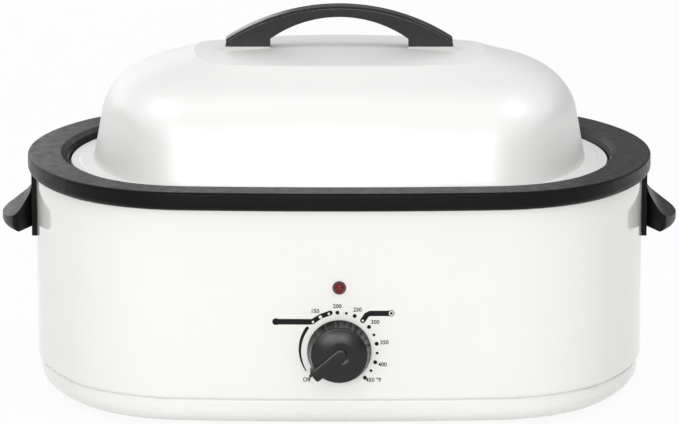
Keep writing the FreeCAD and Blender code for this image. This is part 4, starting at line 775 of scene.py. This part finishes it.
class ROASTER_OT_studio(RoasterStep):
    """Set the floor, the soft lamps and the camera"""
    bl_idname = "roaster.studio"
    bl_label = "Studio"

    def make(self, scene):
        settings = scene.roaster_studio
        self.camera(scene)
        self.floor(settings)
        self.surround(scene, settings)
        # name, place, aim, width, height, brightness
        for name, place, aim, width, height, level in (
                ("key", (-1.3, -2.4, 2.2), (0, 0, 0.15), 0.7, 0.7, 1.4),
                ("fill", (0.8, -1.9, 2.3), (0, 0, 0.12), 0.4, 0.4, 2.6),
                ("front", (-0.45, -3.7, 0.85), (0, 0, 0.15), 2.6, 1.0, 3.7),
                ("window_left", (-0.75, -3.5, 1.0), (0, 0, 0.2), 0.95, 0.30, 3.2),
                ("window_right", (0.42, -3.5, 1.0), (0, 0, 0.2), 1.15, 0.30, 3.2),
                ("strip_left", (-1.5, -2.2, 0.9), (0, 0, 0.15), 0.16, 1.2, 2.2),
                ("overhead", (-0.1, -0.45, 2.5), (0, 0, 0.2), 1.3, 0.12, 3.0),
                ("high_left", (-1.5, -0.1, 2.5), (0, 0, 0.25), 0.7, 0.7, 4.2),
                ("high_right", (1.5, -0.1, 2.5), (0, 0, 0.25), 0.7, 0.7, 4.2),
                ("back_left", (-1.75, 3.0, 0.85), (0, 0, 0.2), 3.0, 0.8, 1.6)):
            self.lamp(scene, name, Vector(place), Vector(aim), width, height,
                      level * settings.light)

    def camera(self, scene):
        """A long lens in front of the oven, looking a little down on it."""
        data = bpy.data.cameras.new("camera")
        data.sensor_width = 36
        data.lens = 246.86
        data.shift_x = 0.0003
        data.clip_start = 0.1
        data.clip_end = 200
        camera = bpy.data.objects.new("camera", data)
        camera.location = (0, -4.0, 0.9805)
        camera.rotation_euler = (math.radians(78.274), 0, 0)
        scene.collection.objects.link(camera)
        scene.camera = camera

    def floor(self, settings):
        mesh = bpy.data.meshes.new("floor")
        half = 40
        mesh.from_pydata([(-half, -half, 0), (half, -half, 0), (half, half, 0),
                          (-half, half, 0)], [], [(0, 1, 2, 3)])
        floor = bpy.data.objects.new("floor", mesh)
        bpy.context.scene.collection.objects.link(floor)
        tone = Finish("floor_paper", 0.9)
        tone.colour(tone.noise(0.5, 2), scaled(settings.floor, 0.99), settings.floor)
        tone.relief(tone.noise(0.003, 3), 0.00002)
        self.whiten_where_seen(tone, settings.floor_lift)
        put_on(floor, tone.material)

    def whiten_where_seen(self, tone, share):
        """Blends the floor towards plain white where it is seen directly or in a reflection."""
        graph = tone.tree.nodes
        white = graph.new("ShaderNodeEmission")
        rays = graph.new("ShaderNodeLightPath")
        mirrored = self.join(tone.tree, "ADD", rays.outputs["Is Glossy Ray"],
                             rays.outputs["Is Transmission Ray"])
        seen = self.join(tone.tree, "MAXIMUM", rays.outputs["Is Camera Ray"], mirrored)
        part = self.join(tone.tree, "MULTIPLY", seen, share)
        mix = graph.new("ShaderNodeMixShader")
        output = [node for node in graph if node.type == "OUTPUT_MATERIAL"][0]
        tone.link(part, mix.inputs[0])
        tone.link(tone.shader.outputs["BSDF"], mix.inputs[1])
        tone.link(white.outputs[0], mix.inputs[2])
        tone.link(mix.outputs[0], output.inputs["Surface"])

    def surround(self, scene, settings):
        """Even light from all round, darker low at the sides and behind, and dimmer overhead."""
        world = bpy.data.worlds.new("surround")
        scene.world = world
        world.use_nodes = True
        tree = world.node_tree
        tree.nodes.clear()
        output = tree.nodes.new("ShaderNodeOutputWorld")
        seen = tree.nodes.new("ShaderNodeBackground")
        seen.inputs["Color"].default_value = (1, 1, 1, 1)
        seen.inputs["Strength"].default_value = 1
        even = tree.nodes.new("ShaderNodeBackground")
        even.inputs["Color"].default_value = (0.985, 0.99, 1, 1)
        direction = tree.nodes.new("ShaderNodeTexCoord")
        parts = tree.nodes.new("ShaderNodeSeparateXYZ")
        tree.links.new(direction.outputs["Generated"], parts.inputs[0])
        sides = self.ramp(tree, parts.outputs["X"], (-1, 1), (-0.65, 0.75), (-0.3, 0),
                          (0.3, 0), (0.6, 0.85), (1, 1))
        behind = self.ramp(tree, parts.outputs["Y"], (-1, 0), (-0.1, 0), (0.45, 0.85), (1, 0.95))
        low = self.ramp(tree, parts.outputs["Z"], (-1, 1), (0.1, 1), (0.4, 0), (1, 0))
        shade = self.join(tree, "MULTIPLY", self.join(tree, "MAXIMUM", sides, behind), low)
        open_part = self.join(tree, "SUBTRACT", 1, shade)
        overhead = self.ramp(tree, parts.outputs["Z"], (-1, 1), (0.35, 1), (0.6, 0.66), (1, 0.66))
        level = self.join(tree, "MULTIPLY", self.join(tree, "MULTIPLY", open_part, overhead),
                          settings.surround)
        tree.links.new(level, even.inputs["Strength"])
        rays = tree.nodes.new("ShaderNodeLightPath")
        mix = tree.nodes.new("ShaderNodeMixShader")
        tree.links.new(rays.outputs["Is Camera Ray"], mix.inputs[0])
        tree.links.new(even.outputs[0], mix.inputs[1])
        tree.links.new(seen.outputs[0], mix.inputs[2])
        tree.links.new(mix.outputs[0], output.inputs["Surface"])

    def join(self, tree, operation, *values):
        """A Math node over sockets and numbers."""
        node = tree.nodes.new("ShaderNodeMath")
        node.operation = operation
        for socket, value in zip(node.inputs, values):
            if isinstance(value, bpy.types.NodeSocket):
                tree.links.new(value, socket)
            else:
                socket.default_value = value
        return node.outputs["Value"]

    def ramp(self, tree, value, *stops):
        """A smooth curve through (value, level) stops."""
        curve = tree.nodes.new("ShaderNodeFloatCurve")
        shifted = tree.nodes.new("ShaderNodeMapRange")
        shifted.inputs["From Min"].default_value = -1
        tree.links.new(value, shifted.inputs["Value"])
        tree.links.new(shifted.outputs["Result"], curve.inputs["Value"])
        points = curve.mapping.curves[0].points
        while len(points) < len(stops):
            points.new(0.5, 0.5)
        for point, (where, amount) in zip(points, stops):
            point.location = ((where + 1) / 2, amount)
        curve.mapping.update()
        return curve.outputs["Value"]

    def lamp(self, scene, name, place, aim, width, height, level):
        """A soft panel whose face has that brightness, whatever its size."""
        data = bpy.data.lights.new(name, "AREA")
        data.shape = "RECTANGLE"
        data.size = width
        data.size_y = height
        data.energy = level * math.pi * width * height
        lamp = bpy.data.objects.new(name, data)
        lamp.location = place
        lamp.rotation_euler = (aim - place).to_track_quat("-Z", "Y").to_euler()
        lamp.visible_camera = False
        scene.collection.objects.link(lamp)


STEPS = (ROASTER_OT_enamel, ROASTER_OT_plastic, ROASTER_OT_lid, ROASTER_OT_knob,
         ROASTER_OT_dial_print, ROASTER_OT_lamp, ROASTER_OT_pan, ROASTER_OT_inside,
         ROASTER_OT_small_trim, ROASTER_OT_studio)


class ROASTER_PT_panel(bpy.types.Panel):
    """Every step of the roaster's finish"""
    bl_label = "Roaster"
    bl_space_type = "VIEW_3D"
    bl_region_type = "UI"
    bl_category = "Roaster"

    def draw(self, context):
        for step in STEPS:
            self.layout.operator(step.bl_idname)
        for name, group in SETTINGS:
            box = self.layout.box()
            for field in group.__annotations__:
                box.prop(getattr(context.scene, name), field)


CLASSES = tuple(group for _, group in SETTINGS) + STEPS + (ROASTER_PT_panel,)


def register():
    for item in CLASSES:
        bpy.utils.register_class(item)
    for name, group in SETTINGS:
        setattr(bpy.types.Scene, name, PointerProperty(type=group))


def unregister():
    for name, _ in SETTINGS:
        delattr(bpy.types.Scene, name)
    for item in reversed(CLASSES):
        bpy.utils.unregister_class(item)


def clear_scene():
    """Removes the start-up objects that aren't part of the model."""
    for item in list(bpy.data.objects):
        if item.type in {"CAMERA", "LIGHT"} or item.name == "Cube":
            bpy.data.objects.remove(item)


def main():
    register()
    clear_scene()
    scene = bpy.context.scene
    scene.view_settings.view_transform = "Standard"
    for step in STEPS:
        group, name = step.bl_idname.split(".")
        getattr(getattr(bpy.ops, group), name)()


if __name__ == "__main__":
    main()
